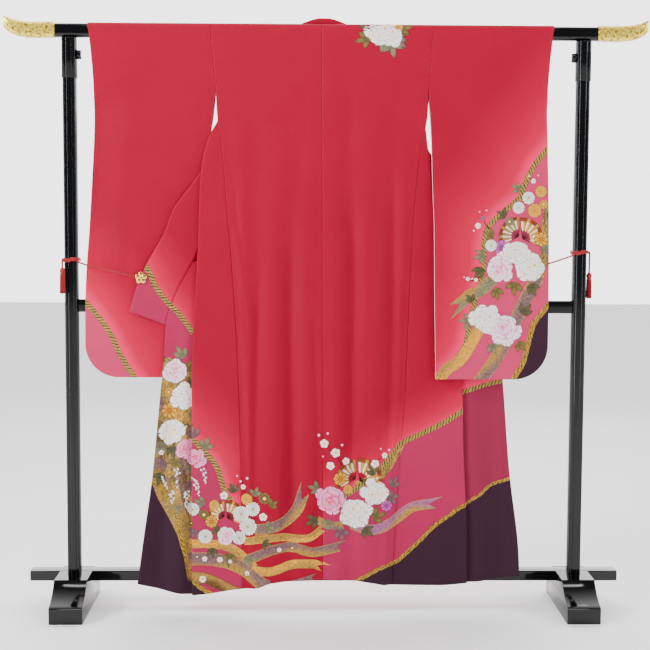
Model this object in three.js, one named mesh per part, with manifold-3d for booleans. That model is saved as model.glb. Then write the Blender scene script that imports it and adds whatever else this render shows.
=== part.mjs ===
// A furisode kimono hung over the top rail of a lacquered kimono stand, its back to -Y.
// Millimetres, +Z up. -X is the wearer's left, +Y is behind the rail, where the fronts' shoulders hang.
import * as THREE from 'three';
import Module from 'manifold-3d';
import { mergeVertices } from 'three/addons/utils/BufferGeometryUtils.js';

const wasm = await Module();
wasm.setup();

// Driving sizes.
const CLOTH = 2; // thickness of every cloth wall
const SEAM_GAP = 0.3; // between pieces that are sewn or that touch
const COLLAR_WALL = 2.2; // the collar is a little thicker
const SHOULDER_Z = 1700; // nominal height of the cloth on the rail
const ARMHOLE_Z = 1369; // top of the side seam
const COLLAR_END_Z = 1044; // above it the collar is sewn to the front, below it to the overlap
const NOMINAL_HEM = 60; // the tables' own hem, before its curve
const SLEEVE_SEAM_Z = 1500; // foot of the seam that joins sleeve and body
const SLEEVE_FOOT_Z = 687; // lower edge of the sleeves
const CUFF_FOOT_Z = 1494; // below it the sleeve's outer edge is sewn up
const SLEEVE_CORNER_R = 97; // round lower outer corner of a sleeve
const FOLD_MIDDLE_Z = 900; // middle of the three heights at which a fold of the back is given

const STAND = {
  postX: 735, postSide: 40, socketFoot: 1543, socketSide: 44,
  railZ: 1677, railTall: 39.5, railDeep: 34, railRound: 12, railEnd: 774,
  tipEnd: 919,
  midZ: 893, midTall: 37, midDeep: 25,
  lowTop: 104, lowTall: 30, lowDeep: 50, lowY: 47, lowEnd: 871,
  footWide: 95, footReach: 168, footToe: 48, footTop: 104, footFlat: 78, footEase: 4, footCurve: 34, footRise: 14,
  knobZ: 1609, edgeRound: 5, lowRound: 3,
};
const RAIL_TOP = STAND.railZ + STAND.railTall / 2;
const LAID = CLOTH / 2 + 0.8; // from the rail's face to the middle of the cloth laid over it
const FLANK = STAND.railDeep / 2 + LAID; // depth of the cloth that hangs straight down from the rail

// Tables: a row for each section, millimetres.
// Side edge of the body, from the rail down (the nominal hem is at z 60).
const LEFT_SIDE = table(['z', 'x'], [
  [1700, -331], [1684, -331], [1516, -318], [1473, -316], [1403, -310], [1369, -303], [1284, -294],
  [1136, -282], [1056, -274], [586, -248], [60, -239]]);
const RIGHT_SIDE = table(['z', 'x'], [
  [1700, 300], [1684, 300], [1514, 290], [1449, 288], [1386, 278], [1344, 268], [1272, 260],
  [1138, 248], [587, 226], [455, 216], [241, 202], [60, 194]]);
// Centre back seam.
const CENTRE = table(['z', 'x'], [[1700, -16], [913, -11], [60, -6]]);
// Depth of the back, before its folds.
const BACK_DEPTH = table(['z', 'y'], [
  [1700, -18.8], [1640, -18.8], [1500, -20], [1369, -26], [1232, -36], [1044, -44], [900, -48], [586, -50],
  [60, -52]]);
const RIGHT_DEPTH = table(['z', 'y'], [
  [1700, -18.8], [1640, -18.8], [1500, -20], [1369, -24], [1232, -29], [1044, -34], [900, -37], [586, -42],
  [60, -46]]);
// Folds of the back: x at three heights, half width, and how far the crest comes out at the top and the foot.
const BACK_FOLDS = [
  { armhole: -245, middle: -238, hem: -196, half: 26, outTop: 1, outFoot: 10 },
  { armhole: -140, middle: -150, hem: -152, half: 42, outTop: 2, outFoot: 15 },
  { armhole: -50, middle: -52, hem: -58, half: 44, outTop: 3, outFoot: 13 },
  { armhole: 18, middle: 24, hem: 34, half: 30, outTop: 2, outFoot: 15 },
  { armhole: 120, middle: 122, hem: 128, half: 48, outTop: 3, outFoot: 16 },
  { armhole: 222, middle: 214, hem: 176, half: 22, outTop: 1, outFoot: 8 },
];
// A front from the shoulder down: outer fold, hidden inner fold, collar or overlap seam, and the
// steps in depth from the side seam to the hidden layer and on to the layer behind it.
const LEFT_FRONT = table(['z', 'outerFold', 'innerFold', 'seam', 'step'], [
  [1700, -331, -77, -79, 7], [1657, -329, -77, -80, 7], [1600, -324, -75, -85, 8],
  [1500, -318, -88, -115, 9], [1408, -321, -118, -158, 9], [1369, -325, -140, -183, 9],
  [1309, -340, -165, -218, 8], [1232, -356, -215, -262, 7], [1044, -368, -285, -371, 7],
  [913, -376, -306, -375, 7], [682, -386, -328, -382, 7], [60, -387, -340, -384, 7]]);
const RIGHT_FRONT = table(['z', 'outerFold', 'innerFold', 'seam', 'step'], [
  [1700, 300, 57, 59, 7], [1657, 298, 57, 60, 7], [1600, 294, 55, 66, 8],
  [1500, 290, 64, 92, 9], [1408, 284, 84, 122, 9], [1369, 286, 103, 146, 9],
  [1309, 296, 128, 184, 8], [1232, 303, 170, 235, 6], [1044, 334, 250, 338, 5.6],
  [913, 355, 290, 352, 5.6], [686, 393, 352, 390, 5.6], [478, 399, 368, 396, 5.6],
  [214, 412, 390, 409, 5.6], [60, 414, 394, 411, 5.6]]);
// Outer edge of the overlap panels, from the end of the collar down.
const LEFT_OVERLAP = table(['z', 'x'], [
  [1044, -371], [917, -438], [839, -461], [782, -464], [680, -473], [622, -479], [506, -490], [385, -502],
  [220, -525], [60, -546]]);
const RIGHT_OVERLAP = table(['z', 'x'], [
  [1044, 338], [930, 424], [839, 488], [782, 498], [685, 510], [393, 534], [118, 566], [60, 568]]);
// Free edge of the collar against the height of its seam: how far it stands off the seam.
const LEFT_COLLAR = table(['z', 'dx', 'dy', 'dz'], [
  [1700, 42, 8, -34], [1657, 34, 30, -36], [1600, 4, 46, -18], [1540, -52, 20, 22], [1470, -68, 14, 40],
  [1369, -82, 9, 52], [1232, -90, 1.5, 58], [1044, -94, 0, 60], [917, -98, -2, 51], [839, -103, -3, 38]]);
const RIGHT_COLLAR = table(['z', 'dx', 'dy', 'dz'], [
  [1700, -42, 8, -34], [1657, -34, 30, -36], [1600, -4, 46, -18], [1540, 50, 20, 24], [1470, 66, 14, 42],
  [1369, 80, 9, 54], [1232, 90, 3, 60], [1044, 92, 0, 61], [917, 92, 0, 61], [839, 92, 0, 61]]);
// Collar round the back of the neck: the seam on the rail, and the top of the roll above it.
const NECK = { halfWide: 69, centreX: -10, rise: 19, drop: 26 };
// The strip round the neck in section: share of the lean inwards, depth, share of the rise, share of the drop.
const NECK_SECTION = [
  { lean: 0.12, y: 11, rise: 0.85, drop: 0 }, { lean: 0.3, y: 18, rise: 0.9, drop: 0 },
  { lean: 0.65, y: 25, rise: 0, drop: 0.45 }, { lean: 1, y: 27, rise: 0, drop: 1.45 }];
const NECK_LEAN = 40;
// Hem height across the garment.
const HEM = table(['x', 'z'], [
  [-546, 84], [-467, 63], [-388, 52], [-350, 55], [-262, 69], [-198, 76], [-161, 90], [-114, 95], [0, 100],
  [96, 96], [125, 92], [190, 82], [333, 80], [413, 86], [458, 92], [566, 107]]);
// Sleeves: inner and outer edges, depth of the wall in front and of the wall behind.
const LEFT_SLEEVE = table(['z', 'inner', 'outer', 'front', 'rear'], [
  [1700, -331, -681, -18.8, 18.8], [1620, -326, -672, -18.8, 18.6], [1560, -321, -667, -19.3, 16],
  [1500, -319, -664, -20, 8], [1431, -325, -664, -18.5, 5], [1369, -337, -666, -17, 4],
  [1284, -352, -671, -16, 3], [1196, -352, -676, -17, 0], [1097, -349, -682, -22, -5],
  [1019, -346, -688, -25, -10], [910, -342, -693, -27.5, -15], [809, -338, -694, -29, -17],
  [687, -333, -694, -30, -20]]);
const RIGHT_SLEEVE = table(['z', 'inner', 'outer', 'front', 'rear'], [
  [1700, 300, 647, -18.8, 18.8], [1620, 296, 639, -18.8, 18.6], [1560, 292, 634, -19.3, 16],
  [1500, 291, 631, -21, 7], [1429, 295, 631, -25, -8], [1372, 298, 632, -31, -17],
  [1300, 300, 633, -39, -27], [1232, 302, 634, -46, -36], [1116, 307, 636, -51, -41],
  [916, 310, 638, -57, -46], [787, 313, 638, -58, -48], [687, 315, 638, -59, -49]]);
// Tip of the top rail: outline from the rail's end outwards.
const TIP = table(['x', 'top', 'foot', 'deep'], [
  [774.3, 1700, 1657, 38], [832, 1699.5, 1656, 38], [869, 1702, 1659, 37], [897, 1708, 1667, 34],
  [911, 1714, 1676, 30], [919, 1717, 1683, 24]]);

// A table with named columns, read at any value of its first column along a smooth curve that
// never overshoots its rows.
function table(columns, rows) {
  const sorted = [...rows].sort((a, b) => a[0] - b[0]);
  const at = (name, key) => {
    const c = columns.indexOf(name);
    const last = sorted.length - 1;
    if (key <= sorted[0][0]) return sorted[0][c];
    if (key >= sorted[last][0]) return sorted[last][c];
    let i = 0;
    while (sorted[i + 1][0] < key) i += 1;
    const slope = (k) => (sorted[k + 1][c] - sorted[k][c]) / (sorted[k + 1][0] - sorted[k][0]);
    const tangent = (k) => {
      if (k === 0) return slope(0);
      if (k === last) return slope(last - 1);
      const before = slope(k - 1);
      const after = slope(k);
      return before * after <= 0 ? 0 : (2 * before * after) / (before + after);
    };
    const span = sorted[i + 1][0] - sorted[i][0];
    const t = (key - sorted[i][0]) / span;
    return (2 * t ** 3 - 3 * t ** 2 + 1) * sorted[i][c] + (t ** 3 - 2 * t ** 2 + t) * span * tangent(i)
      + (3 * t ** 2 - 2 * t ** 3) * sorted[i + 1][c] + (t ** 3 - t ** 2) * span * tangent(i + 1);
  };
  return at;
}

const lerp = THREE.MathUtils.lerp;
const smooth = THREE.MathUtils.smoothstep;
const v3 = (x, y, z) => new THREE.Vector3(x, y, z);
const steps = (count) => Array.from({ length: count + 1 }, (_, i) => i / count);

// A closed wall round a grid of points down the middle of the cloth.
function clothWall(rows, thickness = CLOTH) {
  const m = rows.length;
  const n = rows[0].length;
  const normalAt = (i, j) => {
    const along = rows[Math.min(i + 1, m - 1)][j].clone().sub(rows[Math.max(i - 1, 0)][j]);
    const across = rows[i][Math.min(j + 1, n - 1)].clone().sub(rows[i][Math.max(j - 1, 0)]);
    return along.cross(across).normalize();
  };
  const points = [];
  for (const half of [thickness / 2, -thickness / 2]) {
    rows.forEach((row, i) => row.forEach((p, j) => {
      points.push(p.clone().addScaledVector(normalAt(i, j), half));
    }));
  }
  const id = (side, i, j) => side * m * n + i * n + j;
  const faces = [];
  const quad = (a, b, c, d) => faces.push(a, b, c, a, c, d);
  for (let i = 0; i < m - 1; i += 1) {
    for (let j = 0; j < n - 1; j += 1) {
      quad(id(0, i, j), id(0, i + 1, j), id(0, i + 1, j + 1), id(0, i, j + 1));
      quad(id(1, i, j), id(1, i, j + 1), id(1, i + 1, j + 1), id(1, i + 1, j));
    }
    quad(id(0, i + 1, 0), id(0, i, 0), id(1, i, 0), id(1, i + 1, 0));
    quad(id(0, i, n - 1), id(0, i + 1, n - 1), id(1, i + 1, n - 1), id(1, i, n - 1));
  }
  for (let j = 0; j < n - 1; j += 1) {
    quad(id(0, 0, j), id(0, 0, j + 1), id(1, 0, j + 1), id(1, 0, j));
    quad(id(0, m - 1, j + 1), id(0, m - 1, j), id(1, m - 1, j), id(1, m - 1, j + 1));
  }
  return solidOf(points, faces);
}

// A closed solid through rings of equally many points, with flat ends.
function throughRings(rings) {
  const n = rings[0].length;
  const points = rings.flat();
  const faces = [];
  for (let i = 0; i < rings.length - 1; i += 1) {
    for (let j = 0; j < n; j += 1) {
      const k = (j + 1) % n;
      faces.push(i * n + j, i * n + k, (i + 1) * n + k, i * n + j, (i + 1) * n + k, (i + 1) * n + j);
    }
  }
  const last = (rings.length - 1) * n;
  for (let j = 1; j < n - 1; j += 1) {
    faces.push(0, j + 1, j, last, last + j, last + j + 1);
  }
  return solidOf(points, faces);
}

// Geometry from points and faces, turned so that it faces outwards.
function solidOf(points, faces) {
  let volume = 0;
  for (let f = 0; f < faces.length; f += 3) {
    volume += points[faces[f]].dot(points[faces[f + 1]].clone().cross(points[faces[f + 2]]));
  }
  if (volume < 0) faces.reverse();
  const geometry = new THREE.BufferGeometry().setFromPoints(points);
  geometry.setIndex(faces);
  geometry.computeVertexNormals();
  return geometry;
}

// A geometry as a manifold-3d solid, and back.
function manifoldOf(geometry) {
  const bare = geometry.clone();
  bare.deleteAttribute('normal');
  bare.deleteAttribute('uv');
  const merged = mergeVertices(bare, 1e-3);
  return new wasm.Manifold(new wasm.Mesh({
    numProp: 3,
    vertProperties: merged.attributes.position.array,
    triVerts: new Uint32Array(merged.index.array),
  }));
}

function geometryOf(solid) {
  const mesh = solid.getMesh();
  const geometry = new THREE.BufferGeometry();
  geometry.setAttribute('position', new THREE.BufferAttribute(new Float32Array(mesh.vertProperties), 3));
  geometry.setIndex(new THREE.BufferAttribute(new Uint32Array(mesh.triVerts), 1));
  geometry.computeVertexNormals();
  return geometry;
}

const group = new THREE.Group();
const CLOTH_RED = { color: 0xd03c50, roughness: 0.75, metalness: 0 };
const LINING_WHITE = { color: 0xf4efe8, roughness: 0.85, metalness: 0 };
const LACQUER = { color: 0x0a0a0c, roughness: 0.15, metalness: 0 };
const GOLD = { color: 0xd8b878, roughness: 0.35, metalness: 1 };
const CORD_RED = { color: 0xd01020, roughness: 0.6, metalness: 0 };

function add(name, geometry, look) {
  const mesh = new THREE.Mesh(geometry, new THREE.MeshStandardMaterial({ ...look, side: THREE.DoubleSide }));
  mesh.name = name;
  group.add(mesh);
  return mesh;
}

const OVER_CORNER = 0.38; // share of the way over the rail that goes round each of its corners
// The way over the rail, from its front face to its rear face: depth and height.
function overRail(t) {
  const straight = RAIL_TOP - STAND.railRound;
  const half = STAND.railDeep / 2;
  const turn = STAND.railRound + LAID;
  const flat = half - STAND.railRound;
  if (t < OVER_CORNER) {
    const a = (t / OVER_CORNER) * Math.PI / 2;
    return [-flat - turn * Math.cos(a), straight + turn * Math.sin(a)];
  }
  if (t > 1 - OVER_CORNER) {
    const a = ((1 - t) / OVER_CORNER) * Math.PI / 2;
    return [flat + turn * Math.cos(a), straight + turn * Math.sin(a)];
  }
  return [lerp(-flat, flat, (t - OVER_CORNER) / (1 - 2 * OVER_CORNER)), straight + turn];
}

// Real height of a nominal one at x: the stretch below the armholes ends on the hem's curve.
function heightAt(x, z) {
  if (z >= ARMHOLE_Z) return z;
  return lerp(ARMHOLE_Z, HEM('z', x), (ARMHOLE_Z - z) / (ARMHOLE_Z - NOMINAL_HEM));
}

const FOLD_START_Z = 1640; // the folds begin here, and reach their full depth over the next stretches
const FOLD_EASE = 260;
const FOLD_DEEPEN = { from: ARMHOLE_Z + 120, over: 1000 };
function backFold(x, z) {
  const deep = THREE.MathUtils.clamp((FOLD_DEEPEN.from - z) / FOLD_DEEPEN.over, 0, 1);
  const begun = smooth(FOLD_START_Z - z, 0, FOLD_EASE);
  const above = (z - FOLD_MIDDLE_Z) / (ARMHOLE_Z - FOLD_MIDDLE_Z);
  const below = (z - NOMINAL_HEM) / (FOLD_MIDDLE_Z - NOMINAL_HEM);
  let out = 0;
  for (const fold of BACK_FOLDS) {
    const at = z > FOLD_MIDDLE_Z ? lerp(fold.middle, fold.armhole, above) : lerp(fold.hem, fold.middle, below);
    const d = (x - at) / fold.half;
    out += lerp(fold.outTop, fold.outFoot, deep) * Math.exp(-d * d) * begun;
  }
  return out;
}

// Nominal heights of the sections: where pieces are sewn together they share these.
const TOP_ROWS = [1680, 1655, 1620, 1560, 1500];
const FLAP_ROWS = [1450, 1410, 1369, 1335, 1290, 1240, 1180, 1110, COLLAR_END_Z];
const SKIRT_ROWS = [1025, 1000, 960, 900, 839, 740, 600, 450, 300, 170, NOMINAL_HEM];
const BACK_ROWS = [...TOP_ROWS, 1430, 1369, 1290, 1190, 1060, 900, 720, 540, 360, 200, NOMINAL_HEM].reverse();
const FRONT_ROWS = [...TOP_ROWS, ...FLAP_ROWS, ...SKIRT_ROWS];
const OVER_ROWS = [0, 0.13, 0.26, OVER_CORNER, 1 - OVER_CORNER, 0.74, 0.87, 1];
const LOW_Z = 300; // any height well below the fold, to tell a piece's side

const HANG = { depthTop: 1640, openFrom: ARMHOLE_Z + 40, openOver: 70, rearFrom: 1600, turnFrom: 1660, turnOver: 90 };
const TURN_IN = 14; // width of the strip at the side edge that stays flat above the armhole
const NEAR = 0.02; // share of a run left free beside each fold

// Points across a front at a nominal height, from the side edge to the seam with the collar or
// overlap: out to the outer fold, back behind it, and out again behind that.
function frontRow(side, front, depth, z) {
  const sign = Math.sign(front('seam', LOW_Z));
  const edge = side('x', z);
  const outer = front('outerFold', z);
  const inner = front('innerFold', z);
  const seam = front('seam', z);
  const step = front('step', z);
  const y = depth('y', Math.min(z, HANG.depthTop));
  const opened = smooth(HANG.openFrom - z, 0, HANG.openOver);
  const start = edge + sign * SEAM_GAP * 2;
  const end = seam - sign * SEAM_GAP;
  const r = step / 2;
  const turn = (x, from, way, t) => {
    const a = t * Math.PI;
    return [x - way * r * (1 - Math.sin(a)), from + r * (1 - Math.cos(a))];
  };
  const quarters = [0.25, 0.5, 0.75];
  const between = (from, to, t) => lerp(from - sign * r, to + sign * r, t);
  const pleated = [
    ...steps(3).map((t) => [lerp(start, outer - sign * r, t * (1 - NEAR)), y]),
    ...quarters.map((t) => turn(outer, y, sign, t)),
    ...steps(3).map((t) => [between(outer, inner, NEAR + t * (1 - 2 * NEAR)), y + step]),
    ...quarters.map((t) => turn(inner, y + step, -sign, t)),
    ...steps(2).map((t) => [lerp(inner + sign * r, end, NEAR + t * (1 - NEAR)), y + 2 * step]),
  ];
  // Above the armhole the front lies flat behind the rail, with its collar edge turned under.
  const rear = lerp(FLANK, y + step, smooth(HANG.rearFrom - z, 0, HANG.rearFrom - ARMHOLE_Z));
  const count = pleated.length - 1;
  const turned = smooth(HANG.turnFrom - z, 0, HANG.turnOver);
  const flat = pleated.map((p, j) => [lerp(edge, seam, j / count), rear + 0.5 * (j / count)]);
  const strip = edge - sign * TURN_IN;
  const folded = pleated.map((p, j) => {
    if (j < 7) return [lerp(edge, strip, j / 7), rear - 0.4 * (7 - j) / 7];
    if (j < 11) return [lerp(strip, inner + sign * r, NEAR + ((j - 7) / 3) * (1 - 2 * NEAR)), rear];
    if (j < 14) return turn(inner, rear, -sign, (j - 10) / 4);
    return [lerp(inner + sign * r, end, NEAR + ((j - 14) / 2) * (1 - NEAR)), rear + step];
  });
  return pleated.map((p, j) => {
    const top = [lerp(flat[j][0], folded[j][0], turned), lerp(flat[j][1], folded[j][1], turned)];
    return [lerp(top[0], p[0], opened), lerp(top[1], p[1], opened)];
  });
}

const ACROSS = frontRow(LEFT_SIDE, LEFT_FRONT, BACK_DEPTH, LOW_Z).length - 1;

function bodyRows(side, front, depth) {
  const sign = Math.sign(side('x', LOW_Z));
  const centre = (z) => CENTRE('x', z) + sign * SEAM_GAP;
  const rows = [];
  for (const z of BACK_ROWS) {
    rows.push(steps(ACROSS).map((t) => {
      const x = lerp(side('x', z), centre(z), t);
      const y = lerp(depth('y', z), BACK_DEPTH('y', z), smooth(t, 0, 1));
      const margin = smooth(t, 0, 0.12);
      return v3(x, y - backFold(x, z) * margin, heightAt(x, z));
    }));
  }
  const neckEdge = NECK.centreX + sign * NECK.halfWide;
  for (const t of OVER_ROWS) {
    const [y, z] = overRail(t);
    const inner = lerp(centre(SHOULDER_Z), neckEdge, smooth(t, OVER_CORNER - NEAR, 1 - OVER_CORNER + NEAR));
    rows.push(steps(ACROSS).map((k) => v3(lerp(side('x', SHOULDER_Z), inner, k), y, z)));
  }
  for (const z of FRONT_ROWS) {
    rows.push(frontRow(side, front, depth, z).map(([x, y]) => v3(x, y, heightAt(x, z))));
  }
  return rows;
}

add('body_left', clothWall(bodyRows(LEFT_SIDE, LEFT_FRONT, BACK_DEPTH)), CLOTH_RED);
add('body_right', clothWall(bodyRows(RIGHT_SIDE, RIGHT_FRONT, RIGHT_DEPTH)), CLOTH_RED);

// A slow wave across the overlap panels that grows toward the hem.
const WAVE = { turns: 2.6, shift: 0.5, even: 0.48, from: 960, growFrom: 700, over: 500, out: 4, more: 3, edge: 0.25 };
function overlapRows(front, overlap, depth) {
  const sign = Math.sign(front('seam', LOW_Z));
  const rows = [];
  for (const z of [...SKIRT_ROWS].reverse()) {
    const reach = WAVE.out + WAVE.more * smooth(WAVE.growFrom - z, 0, WAVE.over);
    const swing = smooth(WAVE.from - z, 0, WAVE.over) * reach;
    const seam = front('seam', z) + sign * SEAM_GAP;
    const edge = overlap('x', z);
    const y = depth('y', z) + 2 * front('step', z);
    rows.push(steps(8).map((t) => {
      const x = lerp(seam, edge, t);
      const wave = (Math.sin(t * Math.PI * WAVE.turns - WAVE.shift) + WAVE.even) * swing;
      return v3(x, y - wave * smooth(t, 0, WAVE.edge), heightAt(x, z));
    }));
  }
  return rows;
}

add('okumi_left', clothWall(overlapRows(LEFT_FRONT, LEFT_OVERLAP, BACK_DEPTH)), CLOTH_RED);
add('okumi_right', clothWall(overlapRows(RIGHT_FRONT, RIGHT_OVERLAP, RIGHT_DEPTH)), CLOTH_RED);

const HIDDEN_GAP = 3; // from the front's edge to the collar where it turns over, behind the back
const SHOWN_GAP = 0.9; // the same below, where the collar shows
const HIDDEN_Z = 1245;
// One station of the collar: a point on its seam and one on its free edge.
function collarStation(front, overlap, depth, collar, z) {
  const step = front('step', z);
  const off = v3(collar('dx', z), collar('dy', z), collar('dz', z));
  let seam;
  if (z > COLLAR_END_Z) {
    const row = frontRow(front === LEFT_FRONT ? LEFT_SIDE : RIGHT_SIDE, front, depth, z);
    const [x, y] = row[row.length - 1];
    seam = v3(x, y, heightAt(x, z));
  } else {
    const x = overlap('x', z);
    seam = v3(x, depth('y', z) + 2 * step, heightAt(x, z));
  }
  const away = off.clone().normalize();
  seam.addScaledVector(away, z > HIDDEN_Z ? HIDDEN_GAP : SHOWN_GAP);
  return { seam, edge: seam.clone().add(off) };
}

function collarRows() {
  const heights = [...TOP_ROWS.slice(1), ...FLAP_ROWS, ...SKIRT_ROWS.slice(0, 5)].reverse();
  const left = heights.map((z) => collarStation(LEFT_FRONT, LEFT_OVERLAP, BACK_DEPTH, LEFT_COLLAR, z));
  const right = heights.map((z) => collarStation(RIGHT_FRONT, RIGHT_OVERLAP, RIGHT_DEPTH, RIGHT_COLLAR, z));
  const rows = [...left, ...right.reverse()].map(({ seam, edge }) => steps(4).map((t) => seam.clone().lerp(edge, t)));
  // Round the neck the strip rises off the rail, rolls over and hangs down behind it.
  const lift = 0.4;
  const corner = (sign) => [0.98, 0.86, 0.74].map((t) => {
    const [y, z] = overRail(t);
    const base = v3(NECK.centreX + sign * (NECK.halfWide - 1.6), y + lift, z + lift);
    const edge = base.clone().add(v3(-sign * lerp(42, 36, t), lerp(17, 28, t), -36));
    return steps(4).map((k) => {
      const bulge = Math.sin(k * Math.PI);
      return base.clone().lerp(edge, k).add(v3(0, 5 * bulge * (1 - t), 2 * bulge));
    });
  });
  const neck = [1, 0.8, 0.5, 0.2, -0.2, -0.5, -0.8, -1].map((a) => {
    const x = NECK.centreX - a * (NECK.halfWide - 3);
    const rise = 3 + NECK.rise * (1 - a * a);
    const drop = NECK.drop - 4 * a * a;
    const base = v3(x, 9, RAIL_TOP + LAID + lift);
    const rolled = NECK_SECTION.map((at) => (
      v3(x + a * NECK_LEAN * at.lean, at.y, base.z + rise * at.rise - drop * at.drop)));
    return [base, ...rolled];
  });
  const round = [...corner(-1), ...neck, ...corner(1).reverse()];
  return [...rows.slice(0, heights.length), ...round, ...rows.slice(heights.length)];
}

add('collar', clothWall(collarRows(), COLLAR_WALL), CLOTH_RED);

// Outer edge of a sleeve, round at its lower corner.
function sleeveOuter(sleeve, z) {
  const sign = Math.sign(sleeve('outer', 1000));
  const below = Math.max(0, SLEEVE_CORNER_R - (z - SLEEVE_FOOT_Z));
  const cut = SLEEVE_CORNER_R - Math.sqrt(SLEEVE_CORNER_R ** 2 - below ** 2);
  return sleeve('outer', z) - sign * cut;
}

const SLEEVE_ACROSS = [0, 0.06, 0.25, 0.5, 0.75, 0.92, 0.985, 1];
const SLEEVE_DOWN = [...TOP_ROWS, 1440, 1369, 1280, 1180, 1070, 950, 784, 750, 722, 702, 691, SLEEVE_FOOT_Z];

function sleeveRows(sleeve, side) {
  const sign = Math.sign(sleeve('outer', 1000));
  const innerEdge = (z) => (z >= SLEEVE_SEAM_Z ? side('x', z) : sleeve('inner', z)) + sign * SEAM_GAP;
  const meet = CLOTH / 2 + SEAM_GAP / 2;
  const wall = (which, z) => SLEEVE_ACROSS.map((t) => {
    const x = lerp(innerEdge(z), sleeveOuter(sleeve, z), t);
    const middle = (sleeve('front', z) + sleeve('rear', z)) / 2;
    const half = (sleeve('rear', z) - sleeve('front', z)) / 2;
    const sewnSide = smooth(t, 0.7, 1) * smooth(CUFF_FOOT_Z + 10 - z, 0, 60);
    const sewnFoot = smooth(SLEEVE_FOOT_Z + 45 - z, 0, 44) * smooth(t, 0.02, 0.1);
    const closed = Math.max(sewnSide, sewnFoot);
    return v3(x, middle + (which === 'front' ? -1 : 1) * lerp(half, meet, closed), z);
  });
  const over = OVER_ROWS.map((t) => {
    const [y, z] = overRail(t);
    return SLEEVE_ACROSS.map((k) => v3(lerp(innerEdge(SHOULDER_Z), sleeve('outer', SHOULDER_Z), k), y, z));
  });
  return [
    ...[...SLEEVE_DOWN].reverse().map((z) => wall('front', z)),
    ...over,
    ...SLEEVE_DOWN.map((z) => wall('rear', z)),
  ];
}

add('sleeve_left', clothWall(sleeveRows(LEFT_SLEEVE, LEFT_SIDE)), CLOTH_RED);
add('sleeve_right', clothWall(sleeveRows(RIGHT_SLEEVE, RIGHT_SIDE)), CLOTH_RED);

// White lining at the open inner edge of a sleeve: a strip inside each wall that peeps out.
const LINING = { wide: 12, peep: 1.6, thick: 1, clear: 0.6 };
const LINING_ROWS = [750, 784, 950, 1070, 1180, 1280, 1369, 1440, 1470];
function liningRows(sleeve, which) {
  const sign = Math.sign(sleeve('outer', 1000));
  const inwards = (which === 'front' ? 1 : -1) * (CLOTH / 2 + LINING.clear + LINING.thick / 2);
  return LINING_ROWS.map((z) => steps(1).map((t) => {
    const x = sleeve('inner', z) + sign * lerp(-LINING.peep, LINING.wide, t);
    return v3(x, sleeve(which, z) + inwards, z);
  }));
}

for (const [name, sleeve] of [['left', LEFT_SLEEVE], ['right', RIGHT_SLEEVE]]) {
  for (const which of ['front', 'rear']) {
    add(`furi_${name}_${which}`, clothWall(liningRows(sleeve, which), LINING.thick), LINING_WHITE);
  }
}

// A box with rounded long edges along X, as an extruded outline.
function rail(tall, deep, round, length) {
  const shape = new THREE.Shape();
  const w = deep / 2;
  const h = tall / 2;
  shape.moveTo(-w + round, -h).lineTo(w - round, -h).absarc(w - round, -h + round, round, -Math.PI / 2, 0);
  shape.lineTo(w, h - round).absarc(w - round, h - round, round, 0, Math.PI / 2);
  shape.lineTo(-w + round, h).absarc(-w + round, h - round, round, Math.PI / 2, Math.PI);
  shape.lineTo(-w, -h + round).absarc(-w + round, -h + round, round, Math.PI, Math.PI * 1.5);
  const geometry = new THREE.ExtrudeGeometry(shape, { depth: length, bevelEnabled: false, curveSegments: 4 });
  // The outline's x runs along Y and its y along Z.
  geometry.translate(0, 0, -length / 2).rotateX(Math.PI / 2).rotateZ(Math.PI / 2);
  return geometry;
}

add('top_rail', rail(STAND.railTall, STAND.railDeep, STAND.railRound, STAND.railEnd * 2), LACQUER)
  .position.set(0, 0, STAND.railZ);
const MID_LENGTH = 2 * (STAND.postX - STAND.postSide / 2 - SEAM_GAP);
add('mid_rail', rail(STAND.midTall, STAND.midDeep, STAND.edgeRound, MID_LENGTH), LACQUER)
  .position.set(0, 0, STAND.midZ);
add('lower_rail', rail(STAND.lowTall, STAND.lowDeep, STAND.lowRound, STAND.lowEnd * 2), LACQUER)
  .position.set(0, STAND.lowY, STAND.lowTop - STAND.lowTall / 2);

// Moulded post: a raised face on each side between four corner beads, in shares of its side.
const POST_QUARTER = [[0.5, -0.16], [0.5, 0.16], [0.44, 0.22], [0.44, 0.36], [0.4, 0.4]];
function postRing(side, z) {
  const outline = [];
  for (let quarter = 0; quarter < 4; quarter += 1) {
    const turn = quarter * Math.PI / 2;
    for (const [u, v] of POST_QUARTER) {
      outline.push(v3(
        side * (u * Math.cos(turn) - v * Math.sin(turn)),
        side * (u * Math.sin(turn) + v * Math.cos(turn)),
        z,
      ));
    }
  }
  return outline;
}

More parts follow.
